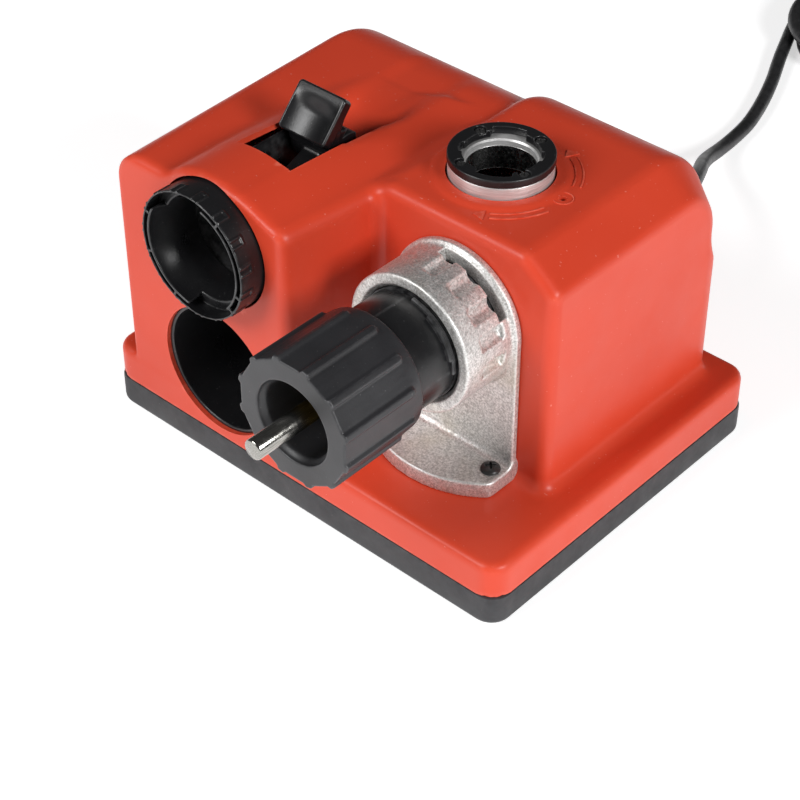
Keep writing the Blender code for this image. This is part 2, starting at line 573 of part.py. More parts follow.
def make_motor():
    """Fixed half of the motor: can, magnet, bearings, end cap, brushes and bracket."""
    def on_axis(x):
        return (x, DRIVE_Y, DRIVE_Z)
    length = CAN_X1 - CAN_X0
    turned("motor_can",
           [(CAN_R, length), (CAN_R, 0), (CAN_R - 1.5, 0), (CAN_R - 1.5, length - 3),
            (8.4, length - 3), (8.4, length)], on_axis(CAN_X0), RIGHTWARD, "steel", closed=True)
    tube("magnet_ring", CAN_R - 1.9, 17.6, 40, on_axis(-45), RIGHTWARD, "carbon")
    tube("bearing_front", 8.0, SHAFT_R + 0.07, 5.0, on_axis(7.0), RIGHTWARD, "steel")
    turned("motor_end_cap",
           [(CAN_R, 8.0), (CAN_R, 0), (8.4, 0), (8.4, 5.0), (CAN_R - 4.0, 5.0), (CAN_R - 4.0, 8.0)],
           on_axis(CAN_X0 - 8.0 - GAP), RIGHTWARD, "black", closed=True)
    tube("bearing_rear", 8.0, SHAFT_R + 0.07, 4.6, on_axis(CAN_X0 - 8.1), RIGHTWARD, "steel")
    for side, sign in (("upper", 1), ("lower", -1)):
        near, far = DRIVE_Z + sign * 8.4, DRIVE_Z + sign * 17.0
        box(f"brush_{side}", (-57.5, DRIVE_Y - 2.5, min(near, far)),
            (-51.5, DRIVE_Y + 2.5, max(near, far)), "carbon")
    floor = BASE_Z1 + GAP
    bracket = box("motor_bracket", (13.0, DRIVE_Y - 24, floor),
                  (16.0, DRIVE_Y + 24, DRIVE_Z + 22), "steel")
    join(bracket, box("form_bracket_foot", (-12.0, DRIVE_Y - 23.9, floor),
                      (14.0, DRIVE_Y + 23.9, floor + 3)))
    cut(bracket, cylinder("cut_bracket", 9.0, 10, on_axis(10), RIGHTWARD))


def make_rotor():
    """Everything on the shaft: armature, commutator, fan, wheel and nut."""
    def on_axis(x):
        return (x, DRIVE_Y, DRIVE_Z)
    cylinder("motor_shaft", SHAFT_R, 124.0, on_axis(-68.0), RIGHTWARD, "steel")
    bore = SHAFT_R + GAP
    tube("armature", 17.2, bore, 36, on_axis(-43), RIGHTWARD, "copper")
    tube("commutator", 8.0, bore, 8, on_axis(-58.2 + 0.2), RIGHTWARD, "brass", SMALL)
    fan = tube("fan", 7.0, bore, 7, on_axis(20), RIGHTWARD, "black", SMALL)
    for blade in range(6):
        vane = box(f"form_fan_{blade}", (0.5, -0.9, 6.0), (6.5, 0.9, 19.0))
        vane.data.transform(Matrix.Rotation(math.radians(60 * blade), 4, "X"))
        vane.location = Vector(on_axis(20)) * MM
        join(fan, vane)
    width = WHEEL_X1 - WHEEL_X0
    turned("grinding_wheel",
           [(WHEEL_R1, width), (WHEEL_R0, 0), (bore, 0), (bore, width - 4), (18.0, width - 4),
            (20.0, width)], on_axis(WHEEL_X0), RIGHTWARD, "diamond", closed=True)
    nut = cylinder("wheel_nut", 5.8, 4.0, on_axis(WHEEL_X1 - 3.7), RIGHTWARD, "steel", 6)
    cut(nut, cylinder("cut_nut", bore, 10, on_axis(WHEEL_X1 - 6), RIGHTWARD, steps=SMALL))


# ---------------------------------------------------------------- electrics

def make_switch():
    """Rocker switch in the left wall."""
    face = LEFT_X0 - GAP

    def switch_box(name, x0, x1, half_y, half_z, colour=None):
        return box(name, (x0, SWITCH_Y - half_y, SWITCH_Z - half_z),
                   (x1, SWITCH_Y + half_y, SWITCH_Z + half_z), colour)

    body = switch_box("switch_body", LEFT_X0, LEFT_X0 + 16, 10.4, 6.9, "black")
    bezel = switch_box("form_bezel", face - 1.6, face, 12.5, 9.0)
    neck = switch_box("form_neck", face - 0.5, face + 1, 10.3, 6.8)
    join(body, neck, bezel)
    cut(body, switch_box("cut_rocker", face - 6, face + 9, 9.0, 5.3))
    outline = [(-8, 0.5), (0, -3.0), (8, 0.5), (8, 3.6), (0, 2.4), (-8, 3.6)]
    rocker_at = (LEFT_X0 + 1.2, SWITCH_Y, SWITCH_Z - 4.8)
    plate("switch_rocker", outline, 9.6, rocker_at, (0, 0, 90 + 8), "black")


def make_relief_and_cord():
    wall = BACK_Y
    turned("strain_relief",
           [(0, RELIEF_END - 64), (4.6, RELIEF_END - 64), (6.0, wall - 64 + 4), (8.0, wall - 64 + 3),
            (8.0, wall - 64 + GAP), (5.9, wall - 64 + GAP), (5.9, wall - 64 - 3.5), (8.0, wall - 64 - 3.5),
            (8.0, 0), (0, 0)], (EXIT_X, 64, EXIT_Z), REARWARD, "rubber", SMALL)
    wire("power_cord", smooth_path(CORD_ROUTE, 7.5), CORD_R, "rubber")


def make_coil():
    """Outer shape of the wound cord, and the band that ties it."""
    turned("cord_coil",
           [(COIL_RO - 2, COIL_Z1), (COIL_RO, COIL_Z1 - 3), (COIL_RO, COIL_Z0 + 3), (COIL_RO - 2, COIL_Z0),
            (COIL_RI + 2, COIL_Z0), (COIL_RI, COIL_Z0 + 3), (COIL_RI, COIL_Z1 - 3), (COIL_RI + 2, COIL_Z1)],
           (COIL_X, COIL_Y, 0), colour="rubber", closed=True)
    tie = box("cord_tie", (COIL_RI - 2.1, -4, 0.2), (COIL_RO + 1.6, 4, COIL_Z1 + 1.6), "rubber")
    cut(tie, box("cut_tie", (COIL_RI - 0.9, -5, 1.2), (COIL_RO + 0.4, 5, COIL_Z1 + 0.4)))
    for piece in (tie, cutters.objects["cut_tie"]):
        piece.data.transform(Matrix.Rotation(math.radians(TIE_ANGLE), 4, "Z"))
        piece.location = Vector((COIL_X, COIL_Y, 0)) * MM


def make_plug():
    """End of the cord on top of the coil, and the plug that lies across it."""
    middle = (COIL_RO + COIL_RI) / 2
    top = COIL_Z1 + CORD_R + GAP
    tail = [(COIL_X + middle * math.cos(math.radians(a)), COIL_Y + middle * math.sin(math.radians(a)), top)
            for a in (165, 151, 137, 124)]
    plug_x, plug_y, plug_z = COIL_X + 2.0, COIL_Y + middle, COIL_Z1 + GAP + PLUG_T / 2
    tail += [(plug_x - 14.5, plug_y, plug_z - 0.1), (plug_x - 8.6, plug_y, plug_z)]
    wire("cord_tail", smooth_path(tail, 6.5), CORD_R, "rubber")
    outline = [(0, -9), (8, -12.5), (30, -12.5), (34, -10), (34, 10), (30, 12.5), (8, 12.5), (0, 9)]
    plug = plate("plug_body", outline, PLUG_T, (plug_x, plug_y, COIL_Z1 + GAP), colour="black")
    bevel(plug, 1.5, 2)
    join(plug, turned("form_plug_neck", [(0, 11.0), (4.6, 11.0), (5.6, 0), (0, 0)],
                      (plug_x + 3, plug_y, plug_z), LEFTWARD, steps=SMALL))
    for number, side in ((1, 9.5), (2, -9.5)):
        cylinder(f"plug_pin_{number}", 2.0, 19.0, (plug_x + 34 + GAP, plug_y + side, plug_z),
                 RIGHTWARD, "brass", SMALL)


def shift_everything():
    """Hang all pieces and cutters from one empty, moved back by SHIFT_Y."""
    origin = bpy.data.objects.new("sharpener_origin", None)
    parts.objects.link(origin)
    for obj in list(parts.objects) + list(cutters.objects):
        if obj is not origin:
            obj.parent = origin
    origin.location.y = SHIFT_Y * MM


def shade():
    for obj in parts.objects:
        if obj.type == "MESH":
            obj.data.shade_smooth()


def main():
    make_base()
    make_housing()
    make_sharpening_port()
    make_split_port()
    make_alignment_port()
    make_lever()
    make_storage_cup()
    make_chuck()
    make_motor()
    make_rotor()
    make_switch()
    make_relief_and_cord()
    make_coil()
    make_plug()
    shift_everything()


main()
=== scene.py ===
"""Drill bit sharpener: the visible shapes, materials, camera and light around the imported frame.

Shapes are worked out in millimetres, with the base plate's centre at x = 0, y = 0 and the table at
z = 0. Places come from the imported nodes' boxes. Moulded and cast pieces are distance fields: a
function that is negative inside the piece, meshed by surface_net().
"""
import math

import bmesh
import bpy
import numpy as np
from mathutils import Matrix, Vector


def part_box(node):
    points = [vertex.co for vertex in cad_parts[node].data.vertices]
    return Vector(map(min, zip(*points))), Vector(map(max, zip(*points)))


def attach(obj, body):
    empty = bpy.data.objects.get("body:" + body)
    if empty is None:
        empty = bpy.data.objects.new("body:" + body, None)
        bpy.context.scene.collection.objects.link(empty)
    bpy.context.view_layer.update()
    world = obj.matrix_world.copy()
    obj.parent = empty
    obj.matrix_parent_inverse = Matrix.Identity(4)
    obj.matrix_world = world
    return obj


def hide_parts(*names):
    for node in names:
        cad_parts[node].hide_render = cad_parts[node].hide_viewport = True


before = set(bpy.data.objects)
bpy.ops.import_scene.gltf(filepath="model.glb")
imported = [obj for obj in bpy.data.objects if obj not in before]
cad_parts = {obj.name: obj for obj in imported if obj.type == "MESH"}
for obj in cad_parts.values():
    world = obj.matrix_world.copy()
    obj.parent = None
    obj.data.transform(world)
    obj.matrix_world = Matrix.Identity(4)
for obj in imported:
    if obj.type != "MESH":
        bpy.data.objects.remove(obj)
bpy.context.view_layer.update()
scene = bpy.context.scene
MM = 0.001


# The script's origin in the frame, in mm
ORIGIN = sum(np.array(corner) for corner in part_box("base_plate")) / 2 / MM * (1, 1, 0)


def node_box(node):
    """Lowest and highest corner of a CAD node, in the script's millimetres."""
    low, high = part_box(node)
    return np.array(low) / MM - ORIGIN, np.array(high) / MM - ORIGIN


def middle(node):
    return sum(node_box(node)) / 2


# -------- sizes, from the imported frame

BASE_HIGH = node_box("base_plate")[1]
SHELL_LOW, SHELL_HIGH = node_box("housing_shell")
PORT_LOW, PORT_HIGH = node_box("sharpening_port")
KNOB_LOW, KNOB_HIGH = node_box("chuck_knob")
BARREL_LOW, BARREL_HIGH = node_box("chuck_barrel")
BIT_LOW, BIT_HIGH = node_box("drill_bit")
ALIGN_LOW, ALIGN_HIGH = node_box("alignment_ring")
STORE_HIGH = node_box("storage_cup")[1]
RING_LOW, RING_HIGH = node_box("split_port_ring")
SLEEVE_LOW, SLEEVE_HIGH = node_box("split_port_sleeve")
RELIEF_LOW, RELIEF_HIGH = node_box("strain_relief")
COIL_LOW, COIL_HIGH = node_box("cord_coil")
PLUG_LOW, PLUG_HIGH = node_box("plug_body")

GAP = 0.3
CORNER = 8.5                               # plan radius of the base plate's corners
SKIRT_TOP = 28.0
WALL = 3.0
LEFT_X0, LEFT_TOP = -87.0, 124.3
RIGHT_X0, RIGHT_X1, RIGHT_TOP = 1.0, 85.5, 127.5
FRONT_LEFT_Y, FRONT_RIGHT_Y, BACK_Y = -77.2, -33.0, 73.0
REAR_ROUND_LEFT, REAR_ROUND_RIGHT = 35.5, 31.0             # radii of the blocks' upper rear edges
COLLAR_R = 30.0
SLOT_X0, SLOT_X1, SLOT_Y0, SLOT_Y1 = -48.0, -21.0, -52.0, -22.0
ALIGN_X, ALIGN_Z = middle("alignment_ring")[[0, 2]]
ALIGN_R = (ALIGN_HIGH - ALIGN_LOW)[0] / 2
STORE_X, STORE_Z = middle("storage_cup")[[0, 2]]
STORE_R = 27.5
AXIS_X, AXIS_Z = middle("chuck_knob")[[0, 2]]      # the chuck's axis, along Y
TUBE_R, BORE_R, TUBE_FRONT_Y = 27.5, 22.0, -60.5
KNOB_R = (KNOB_HIGH - KNOB_LOW)[0] / 2
SPLIT_X, SPLIT_Y = middle("split_port_ring")[:2]
SPLIT_R = (RING_HIGH - RING_LOW)[0] / 2
PADDLE_X, PIVOT_Y, PIVOT_Z = middle("lever_pin")
COIL_X, COIL_Y = middle("cord_coil")[:2]
CORD_R = 3.4
PORT_MARK_X, PORT_MARK_Y = 59.0, 3.0       # small hole beside the point split port

# The camera
CAMERA_AT = (0.43005, -0.47876, 0.54420)
CAMERA_AZIMUTH, CAMERA_ELEVATION = 42.12, 39.51
CAMERA_LENS = 94.89

# The cord's route from its strain relief to the coil
CORD_ROUTE = [
    (22.0, 109.3, 44.0), (21.6, 122.0, 43.8), (19.4, 138.0, 42.2), (13.6, 156.0, 38.0),
    (4.6, 174.0, 31.2), (-5.0, 191.0, 22.8), (-13.2, 208.0, 14.4), (-19.0, 225.0, 7.6),
    (-22.6, 242.0, 4.2), (-25.6, 260.0, 3.5), (-31.6, 280.0, 3.5), (-39.4, 300.0, 3.5),
    (-47.2, 317.0, 3.6), (-52.4, 329.0, 3.9),
]


# -------- materials

def set_inputs(node, values):
    for socket, value in values.items():
        node.inputs[socket].default_value = value


class Recipe:
    """A Principled material that is built from small node steps."""

    def __init__(self, name, roughness=0.5, metallic=0.0):
        self.material = bpy.data.materials.new(name)
        self.material.use_nodes = True
        self.tree = self.material.node_tree
        self.shader = self.tree.nodes["Principled BSDF"]
        set_inputs(self.shader, {"Roughness": roughness, "Metallic": metallic})
        self.place = self.tree.nodes.new("ShaderNodeTexCoord").outputs["Object"]
        self.normal = None

    def node(self, kind, **settings):
        node = self.tree.nodes.new(kind)
        for key, value in settings.items():
            setattr(node, key, value)
        return node

    def link(self, source, target):
        self.tree.links.new(source, target)

    def stretched(self, scale):
        """Object coordinates, scaled differently along each axis."""
        mapping = self.node("ShaderNodeMapping")
        set_inputs(mapping, {"Scale": scale})
        self.link(self.place, mapping.inputs["Vector"])
        return mapping.outputs["Vector"]

    def noise(self, scale, detail=4.0, rough=0.55, place=None):
        noise = self.node("ShaderNodeTexNoise")
        set_inputs(noise, {"Scale": scale, "Detail": detail, "Roughness": rough})
        self.link(place or self.place, noise.inputs["Vector"])
        return noise.outputs["Fac"]

    def ramp(self, value, low, high, start=0.0, end=1.0):
        """Maps value from low..high to start..end, clamped."""
        spread = self.node("ShaderNodeMapRange")
        set_inputs(spread, {"From Min": low, "From Max": high, "To Min": start, "To Max": end})
        self.link(value, spread.inputs["Value"])
        return spread.outputs["Result"]

    def mix(self, factor, a, b):
        """Colour between a and b, each a colour or a socket."""
        mix = self.node("ShaderNodeMix", data_type="RGBA")
        self.link(factor, mix.inputs["Factor"])
        for value, socket in ((a, mix.inputs["A"]), (b, mix.inputs["B"])):
            if isinstance(value, tuple):
                socket.default_value = (*value, 1.0)
            else:
                self.link(value, socket)
        return mix.outputs["Result"]

    def multiply(self, a, b):
        product = self.node("ShaderNodeMath", operation="MULTIPLY")
        self.link(a, product.inputs[0])
        self.link(b, product.inputs[1])
        return product.outputs[0]

    def edges(self):
        """1 on raised edges, 0 on flats and in hollows."""
        pointed = self.node("ShaderNodeNewGeometry").outputs["Pointiness"]
        return self.ramp(pointed, 0.52, 0.60)

    def colour(self, socket):
        self.link(socket, self.shader.inputs["Base Color"])

    def roughness(self, scale, detail, low, high):
        """Roughness that drifts from low to high."""
        drift = self.ramp(self.noise(scale, detail), 0.3, 0.7, low, high)
        self.link(drift, self.shader.inputs["Roughness"])

    def bump(self, height, distance, strength):
        bump = self.node("ShaderNodeBump")
        set_inputs(bump, {"Distance": distance, "Strength": strength})
        self.link(height, bump.inputs["Height"])
        if self.normal:
            self.link(self.normal, bump.inputs["Normal"])
        self.normal = bump.outputs["Normal"]
        self.link(self.normal, self.shader.inputs["Normal"])


def red_plastic():
    """Moulded ABS: faint colour drift, fine spark texture, a few specks of dust, paler worn edges."""
    r = Recipe("red_plastic", 0.42)
    drift = r.ramp(r.noise(14.0, 2.0), 0.3, 0.7)
    base = r.mix(drift, (0.600, 0.050, 0.020), (0.660, 0.060, 0.025))
    worn = r.mix(r.multiply(r.edges(), r.ramp(r.noise(240.0), 0.35, 0.75)), base, (0.80, 0.16, 0.10))
    specks = r.ramp(r.noise(900.0, 1.0, 0.3), 0.77, 0.79, 0.0, 0.3)
    r.colour(r.mix(specks, worn, (0.80, 0.42, 0.36)))
    r.roughness(60.0, 5.0, 0.32, 0.45)
    r.bump(r.noise(1500.0, 2.0, 0.4), 0.00004, 0.5)
    r.bump(r.noise(35.0, 2.0), 0.0006, 0.12)
    set_inputs(r.shader, {"Specular IOR Level": 0.30})
    return r.material


def black_plastic(name, dark, light, rough_low, rough_high, grain):
    """Moulded black plastic with a fine grain; its raised edges are paler grey in patches, a painted
    highlight broken up like rubbed wear.
    """
    r = Recipe(name)
    base = r.mix(r.ramp(r.noise(30.0, 3.0), 0.3, 0.7), dark, light)
    # Painted highlight: paler grey on raised edges, in noisy patches.
    edge_highlight = r.multiply(r.edges(), r.ramp(r.noise(320.0), 0.35, 0.7))
    edge = tuple(0.06 + 2.2 * c for c in light)
    dust = r.ramp(r.noise(1100.0, 1.0, 0.3), 0.77, 0.79, 0.0, 0.2)
    r.colour(r.mix(dust, r.mix(edge_highlight, base, edge), (0.30, 0.30, 0.30)))
    r.roughness(90.0, 4.0, rough_low, rough_high)
    r.bump(r.noise(grain, 2.0, 0.5), 0.00006, 0.5)
    return r.material


def cast_metal():
    """Sand-textured aluminium casting, paler on its rubbed edges and slightly stained."""
    r = Recipe("cast_aluminium", 0.42, 0.75)
    grain = r.noise(1300.0, 3.0, 0.7)
    base = r.mix(r.ramp(grain, 0.36, 0.66), (0.42, 0.41, 0.395), (0.88, 0.87, 0.85))
    stained = r.mix(r.ramp(r.noise(45.0, 3.0), 0.52, 0.72, 0.0, 0.35), base, (0.52, 0.45, 0.33))
    r.colour(r.mix(r.edges(), stained, (0.93, 0.92, 0.90)))
    r.roughness(500.0, 3.0, 0.38, 0.62)
    r.bump(grain, 0.00012, 0.55)
    return r.material


def turned_metal(name, tint, across, rough_low=0.16, rough_high=0.34, metallic=1.0):
    """Machined metal: fine tool marks, drawn out along the turned direction."""
    r = Recipe(name, 0.25, metallic)
    marks = r.noise(260.0, 6.0, 0.65, r.stretched(across))
    shade = tuple(0.55 * c for c in tint)
    r.colour(r.mix(r.ramp(marks, 0.3, 0.7), shade, tint))
    r.roughness(700.0, 3.0, rough_low, rough_high)
    r.bump(marks, 0.00003, 0.5)
    return r.material


def drill_metal(gold_from):
    """Bright ground shank that turns to gold coating towards the point."""
    r = Recipe("drill_steel", 0.2, 1.0)
    marks = r.noise(300.0, 5.0, 0.6, r.stretched((9.0, 0.6, 9.0)))
    steel = r.mix(r.ramp(marks, 0.3, 0.7), (0.20, 0.195, 0.18), (0.46, 0.45, 0.42))
    gold = r.mix(r.ramp(marks, 0.3, 0.7), (0.42, 0.27, 0.06), (0.80, 0.58, 0.18))
    along = r.node("ShaderNodeSeparateXYZ")
    r.link(r.place, along.inputs[0])
    r.colour(r.mix(r.ramp(along.outputs["Y"], gold_from - 0.002, gold_from + 0.003), steel, gold))
    r.roughness(500.0, 4.0, 0.12, 0.26)
    r.bump(marks, 0.00002, 0.4)
    return r.material


def gritty(name, dark, light, metallic=0.3):
    """Bonded grit."""
    r = Recipe(name, 0.8, metallic)
    grain = r.noise(2200.0, 2.0, 0.8)
    r.colour(r.mix(r.ramp(grain, 0.4, 0.6), dark, light))
    r.bump(grain, 0.0002, 0.8)
    return r.material


def wound_copper():
    """Lacquered wire, wound along the shaft."""
    r = Recipe("copper_winding", 0.32, 1.0)
    turns = r.node("ShaderNodeTexWave", wave_type="BANDS", bands_direction="Y")
    set_inputs(turns, {"Scale": 420.0, "Distortion": 1.2})
    r.link(r.place, turns.inputs["Vector"])
    r.colour(r.mix(turns.outputs["Fac"], (0.28, 0.09, 0.04), (0.70, 0.30, 0.14)))
    r.bump(turns.outputs["Fac"], 0.0003, 0.6)
    return r.material


RED = red_plastic()
BASE = black_plastic("base_plastic", (0.014, 0.014, 0.016), (0.022, 0.022, 0.025), 0.42, 0.60, 900.0)
BLACK = black_plastic("black_plastic", (0.006, 0.006, 0.007), (0.010, 0.010, 0.011), 0.26, 0.40, 1300.0)
GLOSS = black_plastic("gloss_plastic", (0.004, 0.004, 0.005), (0.007, 0.007, 0.008), 0.27, 0.36, 1600.0)
KNOB = black_plastic("knob_rubber", (0.018, 0.018, 0.020), (0.028, 0.028, 0.031), 0.34, 0.47, 1100.0)
RUBBER = black_plastic("foot_rubber", (0.018, 0.018, 0.019), (0.028, 0.028, 0.030), 0.7, 0.9, 700.0)
CORD = black_plastic("cord_rubber", (0.009, 0.009, 0.010), (0.015, 0.015, 0.016), 0.36, 0.52, 500.0)
SCREW = black_plastic("black_screw", (0.014, 0.014, 0.015), (0.030, 0.029, 0.028), 0.26, 0.42, 1500.0)
CAST = cast_metal()
SLEEVE = turned_metal("machined_aluminium", (0.90, 0.89, 0.88), (0.3, 0.3, 5.0), 0.34, 0.50, 0.6)
STEEL = turned_metal("steel", (0.56, 0.56, 0.56), (6.0, 1.0, 6.0))
BRASS = turned_metal("brass_pin", (0.72, 0.52, 0.24), (1.0, 8.0, 8.0))
DRILL = drill_metal((BIT_LOW[1] + ORIGIN[1] + 21.0) * MM)
COPPER = wound_copper()
ABRASIVE = gritty("abrasive", (0.07, 0.07, 0.075), (0.34, 0.34, 0.33))
CARBON = gritty("carbon", (0.012, 0.012, 0.012), (0.05, 0.05, 0.05), 0.1)


# -------- building pieces

def to_frame(points):
    return (np.asarray(points, dtype=float) + ORIGIN) * MM


def new_object(name, shape):
    """Object from a shape: points in the script's millimetres, and faces."""
    points, faces = shape
    mesh = bpy.data.meshes.new(name)
    mesh.from_pydata(to_frame(points).tolist(), [], [tuple(int(i) for i in face) for face in faces])
    obj = bpy.data.objects.new(name, mesh)
    scene.collection.objects.link(obj)
    return obj


def piece(name, shape, material, body, *nodes, crease=None, merge=0.001):
    """Visible piece that rides on a body. With a crease angle, its points are merged and it is sharpened."""
    obj = new_object(name, shape)
    obj.data.validate()
    obj.data.shade_smooth()
    obj.data.materials.append(material)
    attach(obj, body)
    if nodes:
        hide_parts(*nodes)
    if crease:
        sharpen(merge_doubles(obj, merge), crease)
    return obj


def sharpen(obj, angle):
    """Splits the shading at edges sharper than angle."""
    bm = bmesh.new()
    bm.from_mesh(obj.data)
    limit = math.radians(angle)
    for edge in bm.edges:
        edge.smooth = len(edge.link_faces) != 2 or edge.calc_face_angle(0.0) < limit
    bm.to_mesh(obj.data)
    bm.free()
    return obj


def round_edges(obj, width):
    """Live bevel on sharp edges."""
    modifier = obj.modifiers.new("round edges", "BEVEL")
    modifier.width = width * MM
    modifier.segments = 2
    modifier.limit_method = "ANGLE"
    modifier.angle_limit = math.radians(35)
    modifier.harden_normals = True
    return obj


def smoothstep(value, low, high):
    t = np.clip((value - low) / (high - low), 0.0, 1.0)
    return t * t * (3 - 2 * t)


def both(a, b, radius):
    """Intersection of two fields, with a round edge."""
    corner = np.hypot(np.maximum(a + radius, 0), np.maximum(b + radius, 0))
    return np.minimum(np.maximum(a, b), -radius) + corner


def either(a, b, radius):
    """Union of two fields, with a hollow fillet."""
    corner = np.hypot(np.maximum(radius - a, 0), np.maximum(radius - b, 0))
    return np.maximum(np.minimum(a, b), radius) - corner


def between(value, low, high):
    return np.maximum(low - value, value - high)


def surface_net(form, low, high, step, quick_step):
    """Points and quads on the form's zero level, inside the box low..high."""
    def field(x, y, z):
        walls = [between(v, a, b) for v, a, b in zip((x, y, z), low, high)]
        return np.maximum(form(x, y, z), np.maximum.reduce(walls))

    step = step
    axes = [np.arange(a - 1.6 * step, b + 2.6 * step, step) for a, b in zip(low, high)]
    grid = field(*np.meshgrid(*axes, indexing="ij"))
    inside = grid < 0
    cells = np.array(grid.shape) - 1
    total = np.zeros((cells.prod(), 3))
    number = np.zeros(cells.prod())
    rings = []
    for axis in range(3):
        unit_a, unit_b, unit_c = np.roll(np.eye(3, dtype=int), -axis, axis=0)
        edges = np.argwhere(np.diff(inside, axis=axis))
        start = grid[tuple(edges.T)]
        end = grid[tuple((edges + unit_a).T)]
        crossing = edges.astype(float)
        crossing[:, axis] += start / (start - end)
        ring = [np.ravel_multi_index((edges - offset).T, cells)
                for offset in (unit_b + unit_c, unit_c, 0, unit_b)]
        for cell in ring:
            number += np.bincount(cell, minlength=len(number))
            for k in range(3):
                total[:, k] += np.bincount(cell, weights=crossing[:, k], minlength=len(number))
        quads = np.stack(ring, axis=1)
        leaving = start < 0
        rings.append(np.where(leaving[:, None], quads, quads[:, ::-1]))
    used = np.flatnonzero(number)
    index = np.full(len(number), -1)
    index[used] = np.arange(len(used))
    points = total[used] / number[used, None] * step + [axis[0] for axis in axes]
    for _ in range(3):
        value = field(*points.T)
        slope = np.stack([(field(*(points + shift).T) - field(*(points - shift).T)) / 0.1
                          for shift in np.eye(3) * 0.05], axis=1)
        push = slope * (value / np.maximum((slope ** 2).sum(axis=1), 0.05))[:, None]
        reach = np.linalg.norm(push, axis=1, keepdims=True)
        points -= push * np.minimum(1.0, 0.6 * step / np.maximum(reach, 1e-9))
    return points, index[np.concatenate(rings)]


def turned(profile, steps, shape=None, closed=False, sweep=(0.0, 360.0)):
    """Points and quads of a (radius, height) profile turned about +Z.

    The profile runs so that its outside is on its right. shape(angles, radius, height) may
    change the radius. A closed profile on a shorter sweep gets a face at both ends.
    """
    whole = sweep[1] - sweep[0] > 359
    angles = np.radians(np.linspace(*sweep, steps, endpoint=not whole))
    rows = []
    for radius, height in profile:
        r = np.full(steps, float(radius)) if shape is None else shape(angles, radius, height)
        rows.append(np.stack([r * np.cos(angles), r * np.sin(angles), np.full(steps, height)], 1))
    faces = []
    for row in range(len(profile) if closed else len(profile) - 1):
        below, above = row * steps, (row + 1) % len(profile) * steps
        for i in range(steps if whole else steps - 1):
            j = (i + 1) % steps
            faces.append((below + i, below + j, above + j, above + i))
    if closed and not whole:
        first = range(0, len(profile) * steps, steps)
        faces += [tuple(first)[::-1], tuple(i + steps - 1 for i in first)]
    return np.concatenate(rows), faces


def merge_doubles(obj, distance=0.001):
    """Joins coincident points, such as a turned profile's points on its axis."""
    bm = bmesh.new()
    bm.from_mesh(obj.data)
    bmesh.ops.remove_doubles(bm, verts=bm.verts, dist=distance * MM)
    bmesh.ops.recalc_face_normals(bm, faces=bm.faces)
    bm.to_mesh(obj.data)
    bm.free()
    obj.data.shade_smooth()
    return obj


def moved(shape, x, y, z):
    points, faces = shape
    return points + [x, y, z], faces


def facing_front(shape, x, y, z):
    """Own +Z to the front, -Y, starting at (x, y, z); own X stays X."""
    points, faces = shape
    return np.stack([points[:, 0] + x, y - points[:, 2], points[:, 1] + z], axis=1), faces


def rounded_profile(corners, radius, steps=4):
    """Profile with each inner corner of the open polyline replaced by a small arc."""
    result = [corners[0]]
    for before, here, after in zip(corners, corners[1:], corners[2:]):
        a, b, c = Vector(before), Vector(here), Vector(after)
        reach = min(radius, (a - b).length * 0.45, (c - b).length * 0.45)
        start, end = b + (a - b).normalized() * reach, b + (c - b).normalized() * reach
        for i in range(steps + 1):
            t = i / steps
            result.append(tuple((1 - t) ** 2 * start + 2 * t * (1 - t) * b + t * t * end))
    return result + [corners[-1]]


def cutter(shape):
    """Hidden helper solid, deleted after use."""
    return merge_doubles(new_object("cutter", shape))


def box_shape(low, high):
    points = [(x, y, z) for x in (low[0], high[0]) for y in (low[1], high[1]) for z in (low[2], high[2])]
    faces = [(0, 1, 3, 2), (4, 6, 7, 5), (0, 4, 5, 1), (2, 3, 7, 6), (0, 2, 6, 4), (1, 5, 7, 3)]
    return np.array(points, dtype=float), faces


def rod_shape(radius, length, steps=96):
    return turned([(0, 0), (radius, 0), (radius, length), (0, length)], steps)


def cut(obj, *cutters):
    """Boolean difference, applied at once."""
    for tool in cutters:
        modifier = obj.modifiers.new("cut", "BOOLEAN")
        modifier.operation = "DIFFERENCE"
        modifier.solver = "EXACT"
        modifier.object = tool
    graph = bpy.context.evaluated_depsgraph_get()
    mesh = bpy.data.meshes.new_from_object(obj.evaluated_get(graph))
    old = obj.data
    obj.modifiers.clear()
    obj.data = mesh
    mesh.name = old.name
    bpy.data.meshes.remove(old)
    for tool in cutters:
        bpy.data.objects.remove(tool, do_unlink=True)
    return obj


# -------- housing

def rounded_rectangle(x, y, half_x, half_y, radius):
    qx, qy = np.abs(x) - half_x + radius, np.abs(y) - half_y + radius
    return np.hypot(np.maximum(qx, 0), np.maximum(qy, 0)) + np.minimum(np.maximum(qx, qy), 0) - radius


def left_block(x, y, z):
    """Taller front-to-back block, with the alignment port's ridge along its top."""
    top = both(y - BACK_Y, z - LEFT_TOP, REAR_ROUND_LEFT)
    right_face = -0.8 + 0.105 * (y - FRONT_LEFT_Y) + 6 * smoothstep(y, -30, -20)
    soft = 13.0 - 6.5 * np.clip((y - FRONT_LEFT_Y) / 112, 0, 1)
    block = both(both(top, LEFT_X0 - x, soft), x - right_face, 5.0)
    crest = 135.4 - 0.165 * np.maximum(y - SLOT_Y0, 0)
    ridge = both(np.hypot(x - ALIGN_X, z - ALIGN_Z) - COLLAR_R, z - crest, 9.0)
    ridge = np.maximum(ridge, y - 24)
    blend = 2.5 + 8.0 * smoothstep(x, -34, -22) * smoothstep(z, 115, 121)
    block = either(block, ridge, blend)
    return both(block, FRONT_LEFT_Y - y, 1.6 + 2.2 * smoothstep(x, -84, -74))


